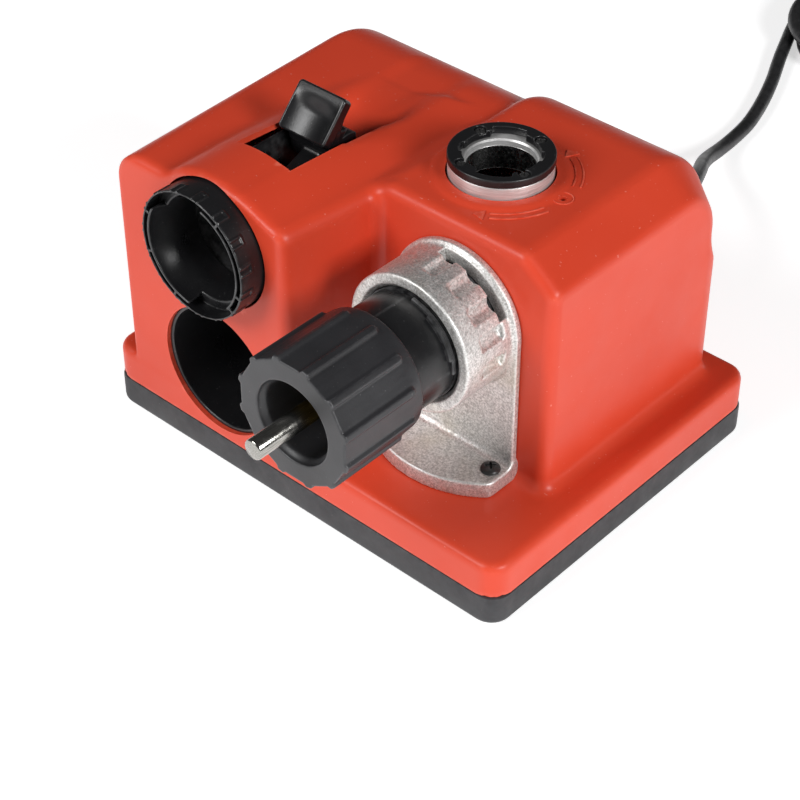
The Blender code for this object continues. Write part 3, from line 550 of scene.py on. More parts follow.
def right_block(x, y, z):
    """Block behind the sharpening port, with a slanted upper right edge and a low boss."""
    top = both(y - BACK_Y, z - RIGHT_TOP, REAR_ROUND_RIGHT)
    rear_corner = both(y - BACK_Y, x - RIGHT_X1, 13.0)
    slant = (12.5 * (x - RIGHT_X1) + 16.5 * top) / 20.7 + 9.17 - 12 * (1 - smoothstep(z, 50, 95))
    block = np.maximum(both(top, both(x - RIGHT_X1, slant, 2.0), 1.5), rear_corner)
    block = both(block, RIGHT_X0 - x, 8.0)
    boss = both(np.hypot(x - SPLIT_X, y - SPLIT_Y) - 25.0, z - RIGHT_TOP - 1.1, 1.2)
    block = either(block, np.maximum(boss, 110 - z), 1.2)
    return both(block, FRONT_RIGHT_Y - y, 4.2)


def hollow_behind_lever(x, y, z):
    """Sloping trough that ends the lever's slot."""
    floor = 107.0 + 19.0 * smoothstep(y, SLOT_Y1 - 14, 24.0)
    walls = np.maximum(between(x, SLOT_X0, SLOT_X1), SLOT_Y1 - 2 - y)
    return both(walls, (floor - z) * 0.9, 5.0)


def housing_outside(x, y, z):
    """Outer form, without its flat bottom."""
    blocks = either(left_block(x, y, z), right_block(x, y, z), 0.5 + 4.5 * (1 - smoothstep(y, 16, 32)))
    blocks = both(blocks, -hollow_behind_lever(x, y, z), 1.6 + 4.0 * smoothstep(y, -12, 10))
    skirt = rounded_rectangle(x, y, BASE_HIGH[0] - 0.4, BASE_HIGH[1] - 0.4, CORNER)
    skirt = both(skirt, z - SKIRT_TOP, 3.2)
    fillet = 0.5 + 4.5 * smoothstep(y, -74, -62) * (1 - smoothstep(y, 64, 71))
    return either(np.maximum(blocks, 16 - z), skirt, fillet)


def housing_field(x, y, z):
    outside = housing_outside(x, y, z)
    shell = np.maximum(outside, -(outside + WALL))
    return np.maximum(shell, SHELL_LOW[2] - z)


def front_rod(radius, y_front, length, x, z, steps=96):
    """Cylinder along Y that starts behind y_front and comes forward to it."""
    return cutter(facing_front(rod_shape(radius, length, steps), x, y_front + length, z))


def upright_rod(radius, z0, z1, x, y, steps=96):
    return cutter(moved(rod_shape(radius, z1 - z0, steps), x, y, z0))


def make_housing():
    net = surface_net(housing_field, SHELL_LOW, SHELL_HIGH, 1.5, 3.0)
    shell = piece("housing_moulding", net, RED, "housing", "housing_shell")
    switch_low, switch_high = node_box("switch_body")
    rim = 1.4                              # the switch's flange laps over its opening
    relief_x, relief_z = middle("strain_relief")[[0, 2]]
    tools = [
        front_rod(ALIGN_R + 0.5, -90, 24, ALIGN_X, ALIGN_Z),
        front_rod(STORE_R, -90, 24, STORE_X, STORE_Z),
        front_rod(TUBE_R - 3, -45, 26, AXIS_X, AXIS_Z),
        upright_rod(SPLIT_R + 0.5, 118, 140, SPLIT_X, SPLIT_Y),
        upright_rod(1.5, 118, 140, PORT_MARK_X, PORT_MARK_Y, 32),
        cutter(box_shape((SLOT_X0, SLOT_Y0, 104), (SLOT_X1, SLOT_Y1, 150))),
        cutter(box_shape((LEFT_X0 - 5, *(switch_low[1:] + rim)), (LEFT_X0 + 8, *(switch_high[1:] - rim)))),
        front_rod(6.3, 62, 24, relief_x, relief_z, 48),
    ]
    sharpen(cut(shell, *tools), 50)


def raised_arc(name, r0, r1, start, end, height, x, y):
    """Flat raised red arc; angles run anticlockwise from +X, in degrees."""
    profile = [(r0, -0.5), (r1, -0.5), (r1 - 0.15, height), (r0 + 0.15, height)]
    steps = max(3, int(abs(end - start) / 3)) + 1
    arc = turned(profile, steps, closed=True, sweep=(start, end))
    piece(name, moved(arc, x, y, RIGHT_TOP), RED, "housing", crease=30)


def make_direction_marks():
    """Raised turning arrows on the boss, and the rim of the small hole."""
    height, head_r = 0.35, 28.2
    for index, (start, end, head) in enumerate(((-58, -16, -62), (22, 60, 64)), 1):
        raised_arc(f"turn_mark_{index}", 26.4, 27.2, start, end, height, SPLIT_X, SPLIT_Y)
        raised_arc(f"turn_mark_outer_{index}", 29.2, 30.0, start, end, height, SPLIT_X, SPLIT_Y)
        lean = math.radians(head)
        side = np.array([math.cos(lean), math.sin(lean)])
        along = np.array([-side[1], side[0]]) * math.copysign(1, head)
        tip = side * head_r + (SPLIT_X, SPLIT_Y)
        flat = [tip + along * 4, tip + side * 3, tip - side * 3]
        points = [(*p, z) for z in (RIGHT_TOP - 0.5, RIGHT_TOP + height) for p in flat]
        faces = [(0, 1, 2), (5, 4, 3), (0, 3, 4, 1), (1, 4, 5, 2), (2, 5, 3, 0)]
        piece(f"turn_mark_head_{index}", (points, faces), RED, "housing", crease=30)
    raised_arc("hole_rim", 3.4, 4.0, 0, 360, 0.3, PORT_MARK_X, PORT_MARK_Y)


# -------- base

def make_base_tray():
    """Black tray with soft lower corners and a shallow groove under the red skirt."""
    z0, z1 = 0.4, BASE_HIGH[2]
    levels = [(30, z0), (1.4, z0), (0.5, z0 + 0.4), (0.1, z0 + 1.2), (0, z0 + 2.0), (0, z1 - 1.2),
              (0.25, z1 - 0.35), (0.8, z1), (30, z1)]
    count = 12
    points = []
    for inset, z in levels:
        half_x, half_y = BASE_HIGH[0] - inset, BASE_HIGH[1] - inset
        radius = max(1.0, CORNER - min(inset, 4))
        for sx, sy, start in ((1, 1, 0), (-1, 1, 90), (-1, -1, 180), (1, -1, 270)):
            for i in range(count + 1):
                a = math.radians(start + 90 * i / count)
                points.append((sx * (half_x - radius) + radius * math.cos(a),
                               sy * (half_y - radius) + radius * math.sin(a), z))
    around = 4 * (count + 1)
    faces = []
    for level in range(len(levels) - 1):
        for i in range(around):
            j = (i + 1) % around
            a, b = level * around, (level + 1) * around
            faces.append((a + i, a + j, b + j, b + i))
    faces.append(tuple(range(around))[::-1])
    faces.append(tuple(range((len(levels) - 1) * around, len(levels) * around)))
    tray = piece("base_tray", (points, faces), BASE, "housing", "base_plate")
    feet = [upright_rod(8.4, -1, 4.3, *middle(node)[:2], 48)
            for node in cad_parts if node.startswith("foot_")]
    sharpen(cut(tray, *feet), 40)


# -------- sharpening port

def casting_field(x, y, z):
    """Tube, back plate and foot, with pockets along the tube and a window behind them."""
    dx, dz = x - AXIS_X, z - AXIS_Z
    r = np.hypot(dx, dz)
    face = FRONT_RIGHT_Y - GAP
    plate_front, plate_r = face - 2.7, 29.0
    foot_half, foot_r, foot_centre = 29.5, 43.8, 17.4
    tube = both(r - TUBE_R, TUBE_FRONT_Y - y, 0.8)
    tube = both(tube, y - face, 0.3)
    arch = both(np.where(dz > 0, r, np.abs(dx)) - plate_r, between(y, plate_front, face), 0.5)
    arch = np.maximum(arch, PORT_LOW[2] - z)
    curve = np.hypot(dx, y - face - foot_centre) - foot_r
    outline = np.maximum(both(np.abs(dx) - foot_half, curve, 1.5), y - face)
    foot = both(outline, z - 35.0, 0.7)
    foot = np.maximum(foot, PORT_LOW[2] - z)
    body = either(arch, foot, 3.4)
    body = either(body, tube, 1.6)
    spigot = np.maximum(r - 24.1, between(y, face - 3, -24.0))
    body = np.minimum(body, spigot)
    angle = np.degrees(np.arctan2(dx, dz))
    for lean in (3, 27, 51, 73, 98):
        a = math.radians(lean)
        pocket = np.hypot(dx - (TUBE_R + 1.0) * math.sin(a), dz - (TUBE_R + 1.0) * math.cos(a)) - 3.3
        pocket = both(pocket, between(y, -52.0, -40.4), 1.2)
        body = both(body, -pocket, 0.6)
    window = np.maximum(between(y, -41.0, -37.2), between(angle, -8.0, 66.0) * 0.45)
    window = np.maximum(window, 20 - r)
    body = both(body, -window, 0.25)
    mouth = np.maximum(BORE_R, BORE_R + 1.5 - 0.9 * (y - TUBE_FRONT_Y))
    body = both(body, mouth - r, 0.25)
    for side in (-24.0, 24.0):
        hole = np.hypot(dx - side, y + 42.0) - 2.0
        body = np.maximum(body, -np.maximum(hole, z - 40))
    return np.maximum(body, PORT_LOW[1] - y)


def make_casting():
    net = surface_net(casting_field, PORT_LOW, PORT_HIGH, 0.6, 1.2)
    piece("port_casting", net, CAST, "housing", "sharpening_port")


def screw_field(head_r, head_h, depth):
    """Pan head with a cross recess and a short shank, about +Z with the head's seat at z = 0."""
    def field(x, y, z):
        r = np.hypot(x, y)
        dome_r = (head_r ** 2 + head_h ** 2) / (2 * head_h) * 1.25
        dome = np.sqrt(r ** 2 + (z - head_h + dome_r) ** 2) - dome_r
        head = both(both(r - head_r, dome, 0.25), -z, 0.15)
        u, v = np.abs(x + y) * 0.7071, np.abs(x - y) * 0.7071
        wing = head_r * 0.60 - (head_h - z) * 0.35
        arms = np.minimum(np.maximum(u - wing, v - head_r * 0.13), np.maximum(v - wing, u - head_r * 0.13))
        cross = np.maximum(arms, head_h * 0.25 - z)
        head = both(head, -cross, 0.08)
        shank = np.maximum(r - head_r * 0.42, np.maximum(z - 0.3, -depth - z))
        return np.minimum(head, shank)
    return field


def make_screw(node, head_r, head_h, depth, seat):
    net = surface_net(screw_field(head_r, head_h, depth), (-head_r, -head_r, -depth),
                      (head_r, head_r, head_h), head_r / 26, head_r / 10)
    piece(f"{node}_head", moved(net, *middle(node)[:2], seat), SCREW, "housing", node)


# -------- point split port

def split_ring_field(x, y, z):
    """Cover ring with two gaps in its bore, two smaller steps and four sunk screws."""
    dx, dy = x - SPLIT_X, y - SPLIT_Y
    r = np.hypot(dx, dy)
    low, high = RING_LOW[2], RING_HIGH[2]
    body = both(r - SPLIT_R, z - high, 0.45)
    body = np.maximum(body, low - z)
    body = both(body, 14.2 - r, 0.3)
    for angle, half, reach in ((151, 6.4, 16.4), (331, 6.4, 16.4), (61, 3.0, 15.3), (241, 3.0, 15.3)):
        a = math.radians(90 - angle)
        along = dx * math.cos(a) + dy * math.sin(a)
        across = np.abs(-dx * math.sin(a) + dy * math.cos(a))
        gap = np.maximum(np.maximum(across - half, r - reach), 5 - along)
        body = both(body, -gap, 0.25)
    for number in range(4):
        sx, sy = middle(f"ring_screw_{number + 1}")[:2]
        away = np.hypot(x - sx, y - sy)
        body = both(body, -np.maximum(away - 2.35, high - 1.2 - z), 0.15)
        body = np.maximum(body, 1.1 - away)
    return body


def make_split_port():
    net = surface_net(split_ring_field, RING_LOW, RING_HIGH, 0.36, 0.7)
    piece("split_cover_ring", net, BLACK, "housing", "split_port_ring")
    height = SLEEVE_HIGH[2] - SLEEVE_LOW[2]
    outer = (SLEEVE_HIGH - SLEEVE_LOW)[0] / 2
    wall = rounded_profile([(13.0, 0), (outer, 0), (outer, height), (13.6, height)], 0.4)
    wall += [(13.0, height - 0.6), (13.0, 0.4)]
    # The bore gets its own darker steel liner: painted shade for the deep inside of the sleeve.
    bore = [(12.8, 0.3), (13.3, 0.3), (13.3, height - 2.6), (12.8, height - 2.6)]
    sleeve, bore_shade_liner = [moved(turned(profile, steps, closed=True), SPLIT_X, SPLIT_Y, SLEEVE_LOW[2])
                     for profile, steps in ((wall, 128), (bore, 96))]
    piece("split_sleeve", sleeve, SLEEVE, "housing", "split_port_sleeve", crease=30)
    piece("split_bore_painted_shade", bore_shade_liner, STEEL, "housing", crease=30)
    key_x, key_y, side = SPLIT_X + 9.5, SPLIT_Y + 10.0, 1.6
    key = box_shape((key_x, key_y, SLEEVE_LOW[2] - 6), (key_x + side, key_y + side, SLEEVE_HIGH[2] - 1.0))
    round_edges(piece("split_guide_bar", key, SLEEVE, "housing"), 0.3)
    for number in range(4):
        make_screw(f"ring_screw_{number + 1}", head_r=2.0, head_h=1.0, depth=5.0, seat=RING_HIGH[2] - 1.15)


# -------- alignment port

def alignment_ring_field(x, y, z):
    """Thin outer wall, an inner wall with gaps, webs between them, and small grip brackets."""
    dx, dz = x - ALIGN_X, z - ALIGN_Z
    r = np.hypot(dx, dz)
    angle = np.degrees(np.arctan2(dx, dz)) % 360
    depth = y - ALIGN_LOW[1]
    spacing = 24.0
    local = (angle + 4) % spacing - spacing / 2
    arc = np.abs(local) * math.pi / 180 * ALIGN_R
    rail = smoothstep(arc, 0.9, 1.25) * (1 - smoothstep(arc, 1.75, 2.1)) * (1 - smoothstep(depth, 5.6, 6.1))
    bar = (1 - smoothstep(arc, 1.75, 2.1)) * smoothstep(depth, 4.7, 5.1) * (1 - smoothstep(depth, 5.7, 6.1))
    outside = r - (ALIGN_R - 0.4) - 0.4 * np.maximum(rail, bar)
    body = both(outside, -depth, 0.5)
    body = np.maximum(body, y - ALIGN_HIGH[1])
    funnel = 22.2 - 3.0 * smoothstep(depth, 1.0, 14.0)
    body = both(body, funnel - r, 0.3)
    slot = np.maximum(between(r, 23.1, 24.9), depth - 6.5)
    for web in (36, 108, 128, 170, 206, 250, 292, 336):
        a = math.radians(web)
        across = np.abs(dx * math.cos(a) - dz * math.sin(a))
        ahead = dx * math.sin(a) + dz * math.cos(a)
        slot = np.maximum(slot, -np.maximum(across - 0.5, -ahead))
    body = both(body, -slot, 0.2)
    for start, end in ((300, 376), (132, 188)):
        middle, half = math.radians((start + end) / 2), (end - start) / 2
        toward = np.degrees(np.arctan2(dx * math.cos(middle) - dz * math.sin(middle),
                                       dx * math.sin(middle) + dz * math.cos(middle)))
        pocket = np.maximum((np.abs(toward) - half) * 0.42, np.maximum(r - 24.9, depth - 6.5))
        body = both(body, -pocket, 0.3)
    return body


def make_alignment_port():
    net = surface_net(alignment_ring_field, ALIGN_LOW, ALIGN_HIGH, 0.42, 0.8)
    piece("alignment_dial", net, BLACK, "alignment_ring", "alignment_ring")


# -------- lever

def lever_field(x, y, z):
    """Thumb paddle with a dished face, its hub on the pin and its arm into the slot."""
    lean = math.atan2(14.5, 13.0)
    dy, dz = y - PIVOT_Y, z - PIVOT_Z
    bottom_y, bottom_z = -14.5, 9.5
    along = (dy - bottom_y) * math.cos(lean) + (dz - bottom_z) * math.sin(lean)
    out = -(dy - bottom_y) * math.sin(lean) + (dz - bottom_z) * math.cos(lean)
    u = x - PADDLE_X
    length, half, dish, pin_r = 19.4, 11.6, 3.0, 1.9
    plan = both(np.abs(u) - half, between(along, 0, length), 1.6)
    across = np.clip(1 - (u / 10.6) ** 2, 0, 1)
    bowl = dish * across ** 0.8 * (1 - smoothstep(along, 9.0, length - 1.8))
    slab = both(plan, out + bowl, 0.8)
    slab = both(slab, -out - 3.6 - 0.9 * smoothstep(np.abs(u), 9.0, 10.0), 0.5)
    web = both(np.abs(u) - half + 0.6, np.maximum(-out - 9.0 + 0.28 * along, out + 1.5 + bowl), 0.5)
    web = both(web, between(along, 1.5, length - 1.5), 0.5)
    cheeks = np.maximum(web, -(np.abs(u) - half + 2.4))
    hub = both(np.hypot(dy, dz) - 8.4, np.abs(u) - half + 0.8, 0.4)
    hub = np.maximum(hub, out + 1.5 + bowl)
    neck_low = (dy - 1.0) * 0.2 + (dz - 3.0)
    neck = both(np.maximum(between(dy, -9.0, 3.4), between(dz, 1.0, 11.0)), np.abs(u) - half + 0.6, 0.5)
    neck = np.maximum(neck, -out - 9.5)
    neck = np.maximum(neck, out + 1.2 + bowl)
    neck = np.maximum(neck, -neck_low - 4)
    rise = 3.0 + 0.4 * (dy + 1.0)
    arm = both(np.maximum(dz - rise - 0.4, rise - 6.4 - dz), between(dy, -25.5, 0.5), 0.6)
    arm = both(arm, np.abs(u) - 4.0, 0.5)
    body = either(np.minimum(slab, cheeks), np.minimum(hub, neck), 1.2)
    body = either(body, arm, 1.0)
    return np.maximum(body, pin_r - np.hypot(dy, dz))


def make_lever():
    net = surface_net(lever_field, *node_box("alignment_lever"), 0.42, 0.9)
    piece("lever_paddle", net, GLOSS, "lever", "alignment_lever")


def make_slot_shade_lining():
    """Black sheet round the lever's slot, just under the red surface: painted shade for the inside of the
    slot.
    """
    top, bottom, wall = 126.0, 109.4, 0.7
    x0, x1, y0, y1 = SLOT_X0 + 0.3, SLOT_X1 - 0.3, SLOT_Y0 + 0.3, SLOT_Y1 - 0.3
    outline = [(x0, y1), (x0, y0), (x1, y0), (x1, y1), (x1 - wall, y1), (x1 - wall, y0 + wall),
               (x0 + wall, y0 + wall), (x0 + wall, y1)]
    points = [(x, y, bottom) for x, y in outline] + [(x, y, top) for x, y in outline]
    faces = [(i, (i + 1) % 8, (i + 1) % 8 + 8, i + 8) for i in range(8)]
    for a, b, c, d in ((0, 1, 6, 7), (1, 2, 5, 6), (2, 3, 4, 5)):
        faces += [(d, c, b, a), (a + 8, b + 8, c + 8, d + 8)]
    # A dark sheet on the slot's walls: painted shade.
    round_edges(piece("slot_painted_shade", (points, faces), GLOSS, "housing", crease=30), 0.2)


# -------- storage cup

def make_storage_liner():
    """Deep cup set a little behind the red front, with a seam and a ring near its floor."""
    front = FRONT_LEFT_Y + 1.7
    depth = STORE_HIGH[1] - front
    outer, inner = STORE_R + 0.4, STORE_R - 1.6
    corners = [(0, 2.0), (inner - 3.2, 2.0), (inner - 2.6, 4.0), (inner - 1.2, 5.0), (inner - 0.9, 9.0),
               (inner, 9.4), (inner, depth), (outer, depth), (outer, 0.0), (0, 0)]
    profile = rounded_profile(corners, 0.8, 3)

    def seam(angles, radius, height):
        ridge = sum(np.exp(-((np.degrees(angles) - a) / 1.1) ** 2) for a in (250, 292))
        inside = 2.5 < height < depth - 1 and radius < inner + 0.2 and radius > 5
        return np.full(len(angles), float(radius)) - (0.45 * ridge if inside else 0.0)

    cup = facing_front(turned(profile, 160, seam), STORE_X, STORE_HIGH[1], STORE_Z)
    piece("storage_liner", cup, BLACK, "housing", "storage_cup", crease=40)


# -------- chuck

def knob_field(x, y, z):
    """Grip with twelve raised ribs that run out at the front and stop short of the rear edge."""
    dx, dz = x - AXIS_X, z - AXIS_Z
    r = np.hypot(dx, dz)
    angle = np.degrees(np.arctan2(dx, dz)) % 30 - 15
    depth = y - KNOB_LOW[1]
    length = KNOB_HIGH[1] - KNOB_LOW[1]
    arc = np.abs(angle) * math.pi / 180 * KNOB_R
    end = length - 5.0
    away = np.hypot(arc, np.maximum(depth - end + 1.6, 0))
    rib = 1.3 * (1 - smoothstep(away, 0.9, 2.3)) + 0.3 * (1 - smoothstep(away, 1.6, 5.6))
    body = both(r - (KNOB_R - 0.4) - rib, -depth, 0.5)
    body = both(body, depth - length, 1.6)
    bore = 14.8 + 1.6 * (1 - smoothstep(depth, 0.3, 3.4))
    body = both(body, -np.maximum(r - bore, depth - 29.4), 0.35)
    body = np.maximum(body, -np.maximum(r - 14.6, depth - length + 9))
    return np.maximum(body, -np.maximum(r - 21.6, length - 10 - depth))


def make_knob():
    grown = np.array([1.4, 0.0, 1.4])      # room for ribs that stand out further than the CAD grip
    net = surface_net(knob_field, KNOB_LOW - grown, KNOB_HIGH + grown, 0.5, 0.9)
    piece("grip_knob", net, KNOB, "knob", "chuck_knob")


def make_barrel():
    """Smooth barrel, stepped where it enters the port, with the raised stop at its mouth."""
    length = BARREL_HIGH[1] - BARREL_LOW[1]
    outer = (BARREL_HIGH - BARREL_LOW)[0] / 2
    shoulder = BARREL_HIGH[1] - TUBE_FRONT_Y
    corners = [(8.0, 0), (12.0, 0), (19.2, 3.0), (19.2, shoulder), (outer, shoulder), (outer, length - 1),
               (outer - 0.5, length), (8.0, length)]
    barrel = turned(rounded_profile(corners, 0.6, 3), 128, closed=True)
    piece("chuck_sleeve", facing_front(barrel, AXIS_X, BARREL_HIGH[1], AXIS_Z), BLACK, "chuck",
          "chuck_barrel", crease=30)
    for index, (start, end, reach, front) in enumerate(((-2, 82, 22.5, 61.0), (14, 60, 22.9, 62.3)), 1):
        profile = [(outer - 1, front - 0.2), (reach - 0.2, front - 0.2), (reach, front), (reach, front + 1.0),
                   (reach - 0.3, front + 1.4), (outer - 1, front + 1.4)]
        stop = turned(profile, 40, closed=True, sweep=(start, end))
        piece(f"barrel_stop_{index}", facing_front(stop, AXIS_X, 0, AXIS_Z), BLACK, "chuck", crease=30)


def make_drill():
    """Twist drill: chamfered shank, two right-hand flutes and a ground point."""
    length = BIT_HIGH[1] - BIT_LOW[1]
    radius = (BIT_HIGH - BIT_LOW)[0] / 2
    flute_end = 60.0
    pitch = 30.0
    heights = [0.0, 0.02, 0.8, 1.6, 2.3] + list(np.arange(3.5, flute_end + 8, 1.1)) + [80.0, length - 0.6]
    profile = [(min(radius, 0.001 + h * radius / 2.3), h) for h in heights]
    profile += [(radius - 0.15, length - 0.3), (radius - 0.55, length), (0.001, length)]

    def fluted(angles, r, height):
        if height < 0.01 or height > flute_end + 6:
            return np.full(len(angles), float(r))
        turn = angles - 2 * math.pi * height / pitch
        fade = 1 - smoothstep(np.array(float(height)), flute_end - 6, flute_end + 6)
        cut_in = np.clip(np.cos(2 * turn) * 1.4 - 0.35, 0, 1) * 0.62 * fade
        land = 0.05 * (np.cos(2 * turn + 1.9) > 0.2) * fade
        return r * (1 - cut_in - land)

    drill = facing_front(turned(profile, 72, fluted), AXIS_X, BIT_HIGH[1], AXIS_Z)
    piece("twist_drill", drill, DRILL, "drill_bit", "drill_bit", crease=38, merge=0.01)


# -------- cord

def catmull_rom(knots, spacing):
    """Evenly spaced points on a smooth curve through the knots."""
    knots = np.asarray(knots, dtype=float)
    knots = np.vstack([2 * knots[0] - knots[1], knots, 2 * knots[-1] - knots[-2]])
    t = np.linspace(0, 1, 12, endpoint=False)[:, None]
    fine = []
    for a, b, c, d in zip(knots, knots[1:], knots[2:], knots[3:]):
        fine.append(0.5 * (2 * b + (c - a) * t + (2 * a - 5 * b + 4 * c - d) * t ** 2
                           + (3 * b - a - 3 * c + d) * t ** 3))
    fine = np.vstack(fine + [knots[-2:-1]])
    run = np.concatenate([[0], np.cumsum(np.linalg.norm(np.diff(fine, axis=0), axis=1))])
    even = np.linspace(0, run[-1], int(run[-1] / spacing) + 1)
    return np.stack([np.interp(even, run, fine[:, k]) for k in range(3)], axis=1)


def coil_knots():
    """Six turns, wound clockwise: three beside each other, then three on top, then the tail."""
    radii = [43.4, 36.8, 30.2, 30.2, 36.8, 43.4]
    low_z, high_z, tail_z = COIL_LOW[2] + CORD_R, COIL_LOW[2] + 3 * CORD_R, COIL_HIGH[2] + CORD_R + GAP
    start = 196.0
    knots = []
    for turn, radius in enumerate(radii):
        after = radii[min(turn + 1, 5)]
        for part in range(15):
            share = part / 15
            r = radius + (after - radius) * smoothstep(share, 0.80, 1.0)
            z = low_z if turn < 3 else high_z
            if turn == 2:
                z += (high_z - low_z) * smoothstep(share, 0.45, 0.75)
            if turn == 0:
                z -= 1.2 * (1 - smoothstep(share, 0.0, 0.2))
            knots.append((r, start - 360 * (turn + share), z))
    end = start - 360 * 6
    for share, r, z in ((0.0, 43.4, high_z), (0.25, 41.4, high_z + 1.8), (0.5, 38.6, high_z + 4.8)):
        knots.append((r, end - 62 * share, z))
    for angle in (163, 151, 137, 124):
        knots.append((37.0, angle - 360 * 6, tail_z))
    return [(COIL_X + r * math.cos(math.radians(a)), COIL_Y + r * math.sin(math.radians(a)), z)
            for r, a, z in knots]


def make_cord():
    x, y, z = PLUG_LOW[0] + 0.4, *middle("plug_body")[1:]      # where the cord ends inside the plug
    path = catmull_rom(CORD_ROUTE + coil_knots() + [(x - 5.6, y, z - 0.1), (x, y, z)], 5.0)
    curve = bpy.data.curves.new("power_lead", "CURVE")
    curve.dimensions = "3D"
    curve.bevel_depth = CORD_R * MM
    curve.bevel_resolution = 5
    curve.use_fill_caps = True
    spline = curve.splines.new("POLY")
    spline.points.add(len(path) - 1)
    for knot, point in zip(spline.points, to_frame(path)):
        knot.co = (*point, 1.0)
    spline.use_smooth = True
    curve.materials.append(CORD)
    lead = bpy.data.objects.new("power_lead", curve)
    scene.collection.objects.link(lead)
    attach(lead, "housing")
    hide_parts("power_cord", "cord_coil", "cord_tail")
    plug = make_plug()
    tie = dress("cord_tie", CORD, 0.35)


def plug_field(x, y, z):
    """Two-pin plug: waisted grip, finger ridges and a ribbed neck towards the cord."""
    centre = (PLUG_LOW + PLUG_HIGH) / 2
    start = PLUG_HIGH[0] - 34
    along = x - start
    half_y = 9.0 + 3.5 * smoothstep(along, 0, 9) - 1.6 * smoothstep(along, 28, 34)
    waist = 0.8 * np.sin(np.clip((along - 9) / 17, 0, 1) * math.pi)
    body = both(np.abs(y - centre[1]) - half_y + waist, np.abs(z - centre[2]) - 6.7, 3.0)
    body = both(body, between(along, 0, 33.9), 1.4)
    grip = smoothstep(along, 9, 11) * (1 - smoothstep(along, 24, 26))
    ridges = 0.45 * np.cos(along * 2 * math.pi / 3.2) * grip
    body = body + np.maximum(ridges, 0) * (np.abs(y - centre[1]) > 9)
    r = np.hypot(y - centre[1], z - centre[2])
    collar_r = 5.4 + 0.1 * along + 0.35 * np.cos(along * 2 * math.pi / 2.4)
    neck = both(r - collar_r, between(along, -7.9, 3), 0.5)
    return either(body, neck, 1.0)


def make_plug():
    net = surface_net(plug_field, PLUG_LOW, PLUG_HIGH, 0.55, 1.0)
    return piece("mains_plug", net, BLACK, "housing", "plug_body")


def dress(node, material, edge):
    """Material and softened edges for a CAD node that stays as it is."""
    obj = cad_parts[node]
    obj.data.materials.clear()
    obj.data.materials.append(material)
    if edge:
        round_edges(obj, edge)
    return obj


def make_relief():
    """Tapered strain relief with cut rings."""
    x, z = middle("strain_relief")[[0, 2]]
    length = RELIEF_HIGH[1] - RELIEF_LOW[1]
    wall = BACK_Y - RELIEF_LOW[1]
    corners = [(0, 0), (8.0, 0), (8.0, wall - 3.5), (5.9, wall - 3.5), (5.9, wall + GAP), (8.0, wall + GAP),
               (8.0, wall + 2.6), (6.2, wall + 4.0)]
    rings = 7
    first, last = wall + 6.5, length - 3.5
    for i in range(rings):
        at = first + (last - first) * i / (rings - 1)
        r = 6.0 - 1.2 * i / (rings - 1)
        corners += [(r, at - 1.2), (r - 1.1, at - 0.9), (r - 1.1, at + 0.7), (r, at + 1.0)]
    corners += [(4.6, length - 0.8), (4.2, length), (0, length)]
    points, faces = turned(rounded_profile(corners, 0.3, 2), 48)
    points = np.stack([points[:, 0] + x, points[:, 2] + RELIEF_LOW[1], z - points[:, 1]], axis=1)
    piece("cord_relief", (points, faces), CORD, "housing", "strain_relief", crease=35)


# -------- carried-over nodes

def finish_nodes():
    """Looks of the CAD nodes that are used as they are: material, width of the soft edge, nodes."""
    looks = (
        (BLACK, 0.3, "guide_bush fan"),
        (BLACK, 0.4, "alignment_tube"),
        (BLACK, 0.5, "motor_end_cap"),
        (BLACK, 0.7, "switch_body"),
        (GLOSS, 0.4, "switch_rocker"),
        (STEEL, 0.0, "lever_spring"),
        (STEEL, 0.2, "claw_left claw_right lever_pin bearing_front bearing_rear motor_shaft"),
        (STEEL, 0.2, "chuck_jaw_1 chuck_jaw_2 chuck_jaw_3"),
        (STEEL, 0.2, "base_screw_1 base_screw_2 base_screw_3 base_screw_4"),
        (STEEL, 0.3, "claw_guide wheel_nut"),
        (STEEL, 0.4, "motor_bracket"),
        (STEEL, 0.6, "motor_can"),
        (CARBON, 0.2, "brush_upper brush_lower"),
        (CARBON, 0.3, "magnet_ring"),
        (COPPER, 0.4, "armature"),
        (BRASS, 0.2, "commutator"),
        (BRASS, 0.5, "plug_pin_1 plug_pin_2"),
        (ABRASIVE, 0.3, "grinding_wheel"),
        (RUBBER, 0.5, "foot_front_left foot_front_right foot_rear_left foot_rear_right"),
    )
    for material, edge, nodes in looks:
        for node in nodes.split():
            dress(node, material, edge)


# -------- stage, light and camera

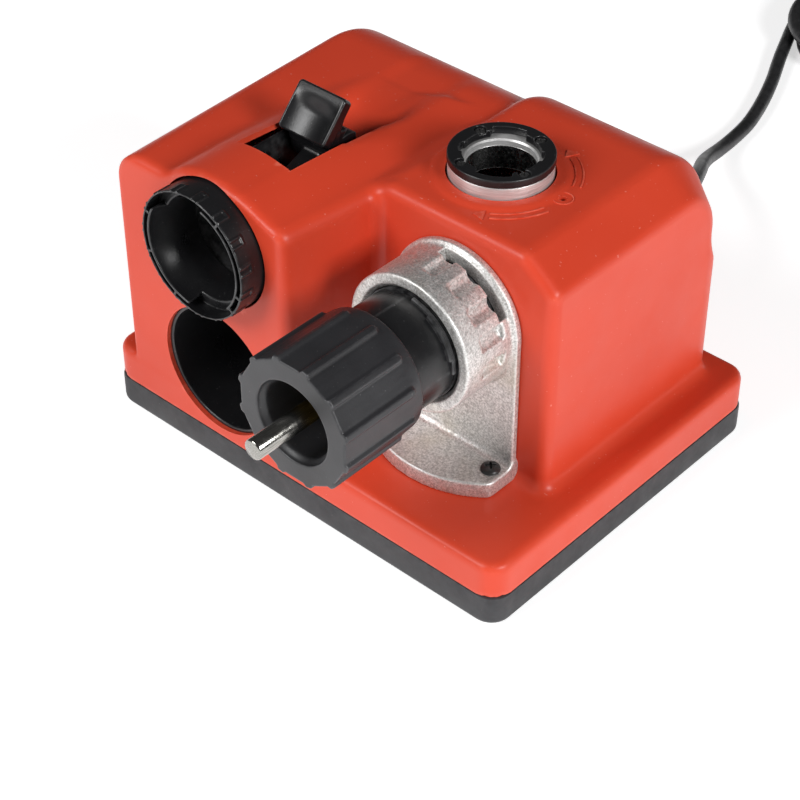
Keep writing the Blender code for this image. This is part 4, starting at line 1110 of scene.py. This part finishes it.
def make_stage():
    mesh = bpy.data.meshes.new("floor")
    size = 4.0
    corners = [(-size, -size, 0), (size, -size, 0), (size, size, 0), (-size, size, 0)]
    mesh.from_pydata(corners, [], [(0, 1, 2, 3)])
    floor = bpy.data.objects.new("floor", mesh)
    scene.collection.objects.link(floor)
    material = bpy.data.materials.new("white_sweep")
    material.use_nodes = True
    set_inputs(material.node_tree.nodes["Principled BSDF"], {
        "Base Color": (0.93, 0.93, 0.935, 1.0), "Roughness": 0.6, "Specular IOR Level": 0.2,
        "Emission Color": (1.0, 1.0, 1.0, 1.0), "Emission Strength": 0.56})
    mesh.materials.append(material)


def softbox(name, azimuth, elevation, distance, size, power):
    """Square area light; azimuth 0 is in front of the object, 90 to its right."""
    a, e = math.radians(azimuth), math.radians(elevation)
    back = Vector((math.sin(a) * math.cos(e), -math.cos(a) * math.cos(e), math.sin(e)))
    light = bpy.data.lights.new(name, "AREA")
    light.shape = "SQUARE"
    light.size = size
    light.energy = power
    obj = bpy.data.objects.new(name, light)
    obj.location = Vector((0.0, 0.0, 0.06)) + back * distance
    obj.rotation_euler = back.to_track_quat("Z", "Y").to_euler()
    scene.collection.objects.link(obj)


def make_lights():
    softbox("left_box", azimuth=-22, elevation=36, distance=1.9, size=0.9, power=26)
    softbox("right_box", azimuth=84, elevation=28, distance=1.9, size=0.6, power=26)
    world = bpy.data.worlds.new("studio")
    world.use_nodes = True
    set_inputs(world.node_tree.nodes["Background"], {"Color": (1.0, 1.0, 1.0, 1.0), "Strength": 0.07})
    scene.world = world


def make_camera():
    data = bpy.data.cameras.new("camera")
    data.lens = CAMERA_LENS
    data.sensor_width = 36.0
    data.clip_start = 0.01
    camera = bpy.data.objects.new("camera", data)
    camera.location = CAMERA_AT
    camera.rotation_euler = (math.radians(90 - CAMERA_ELEVATION), 0.0, math.radians(CAMERA_AZIMUTH))
    scene.collection.objects.link(camera)
    scene.camera = camera
    scene.view_settings.view_transform = "Standard"


def main():
    make_camera()
    make_stage()
    make_lights()
    make_cord()
    make_relief()
    finish_nodes()
    make_housing()
    make_direction_marks()
    make_base_tray()
    make_casting()
    for side in ("left", "right"):
        make_screw(f"port_screw_{side}", head_r=3.75, head_h=2.4, depth=6.4, seat=35.05)
    make_split_port()
    make_alignment_port()
    make_lever()
    make_slot_shade_lining()
    make_storage_liner()
    make_knob()
    make_barrel()
    make_drill()


main()
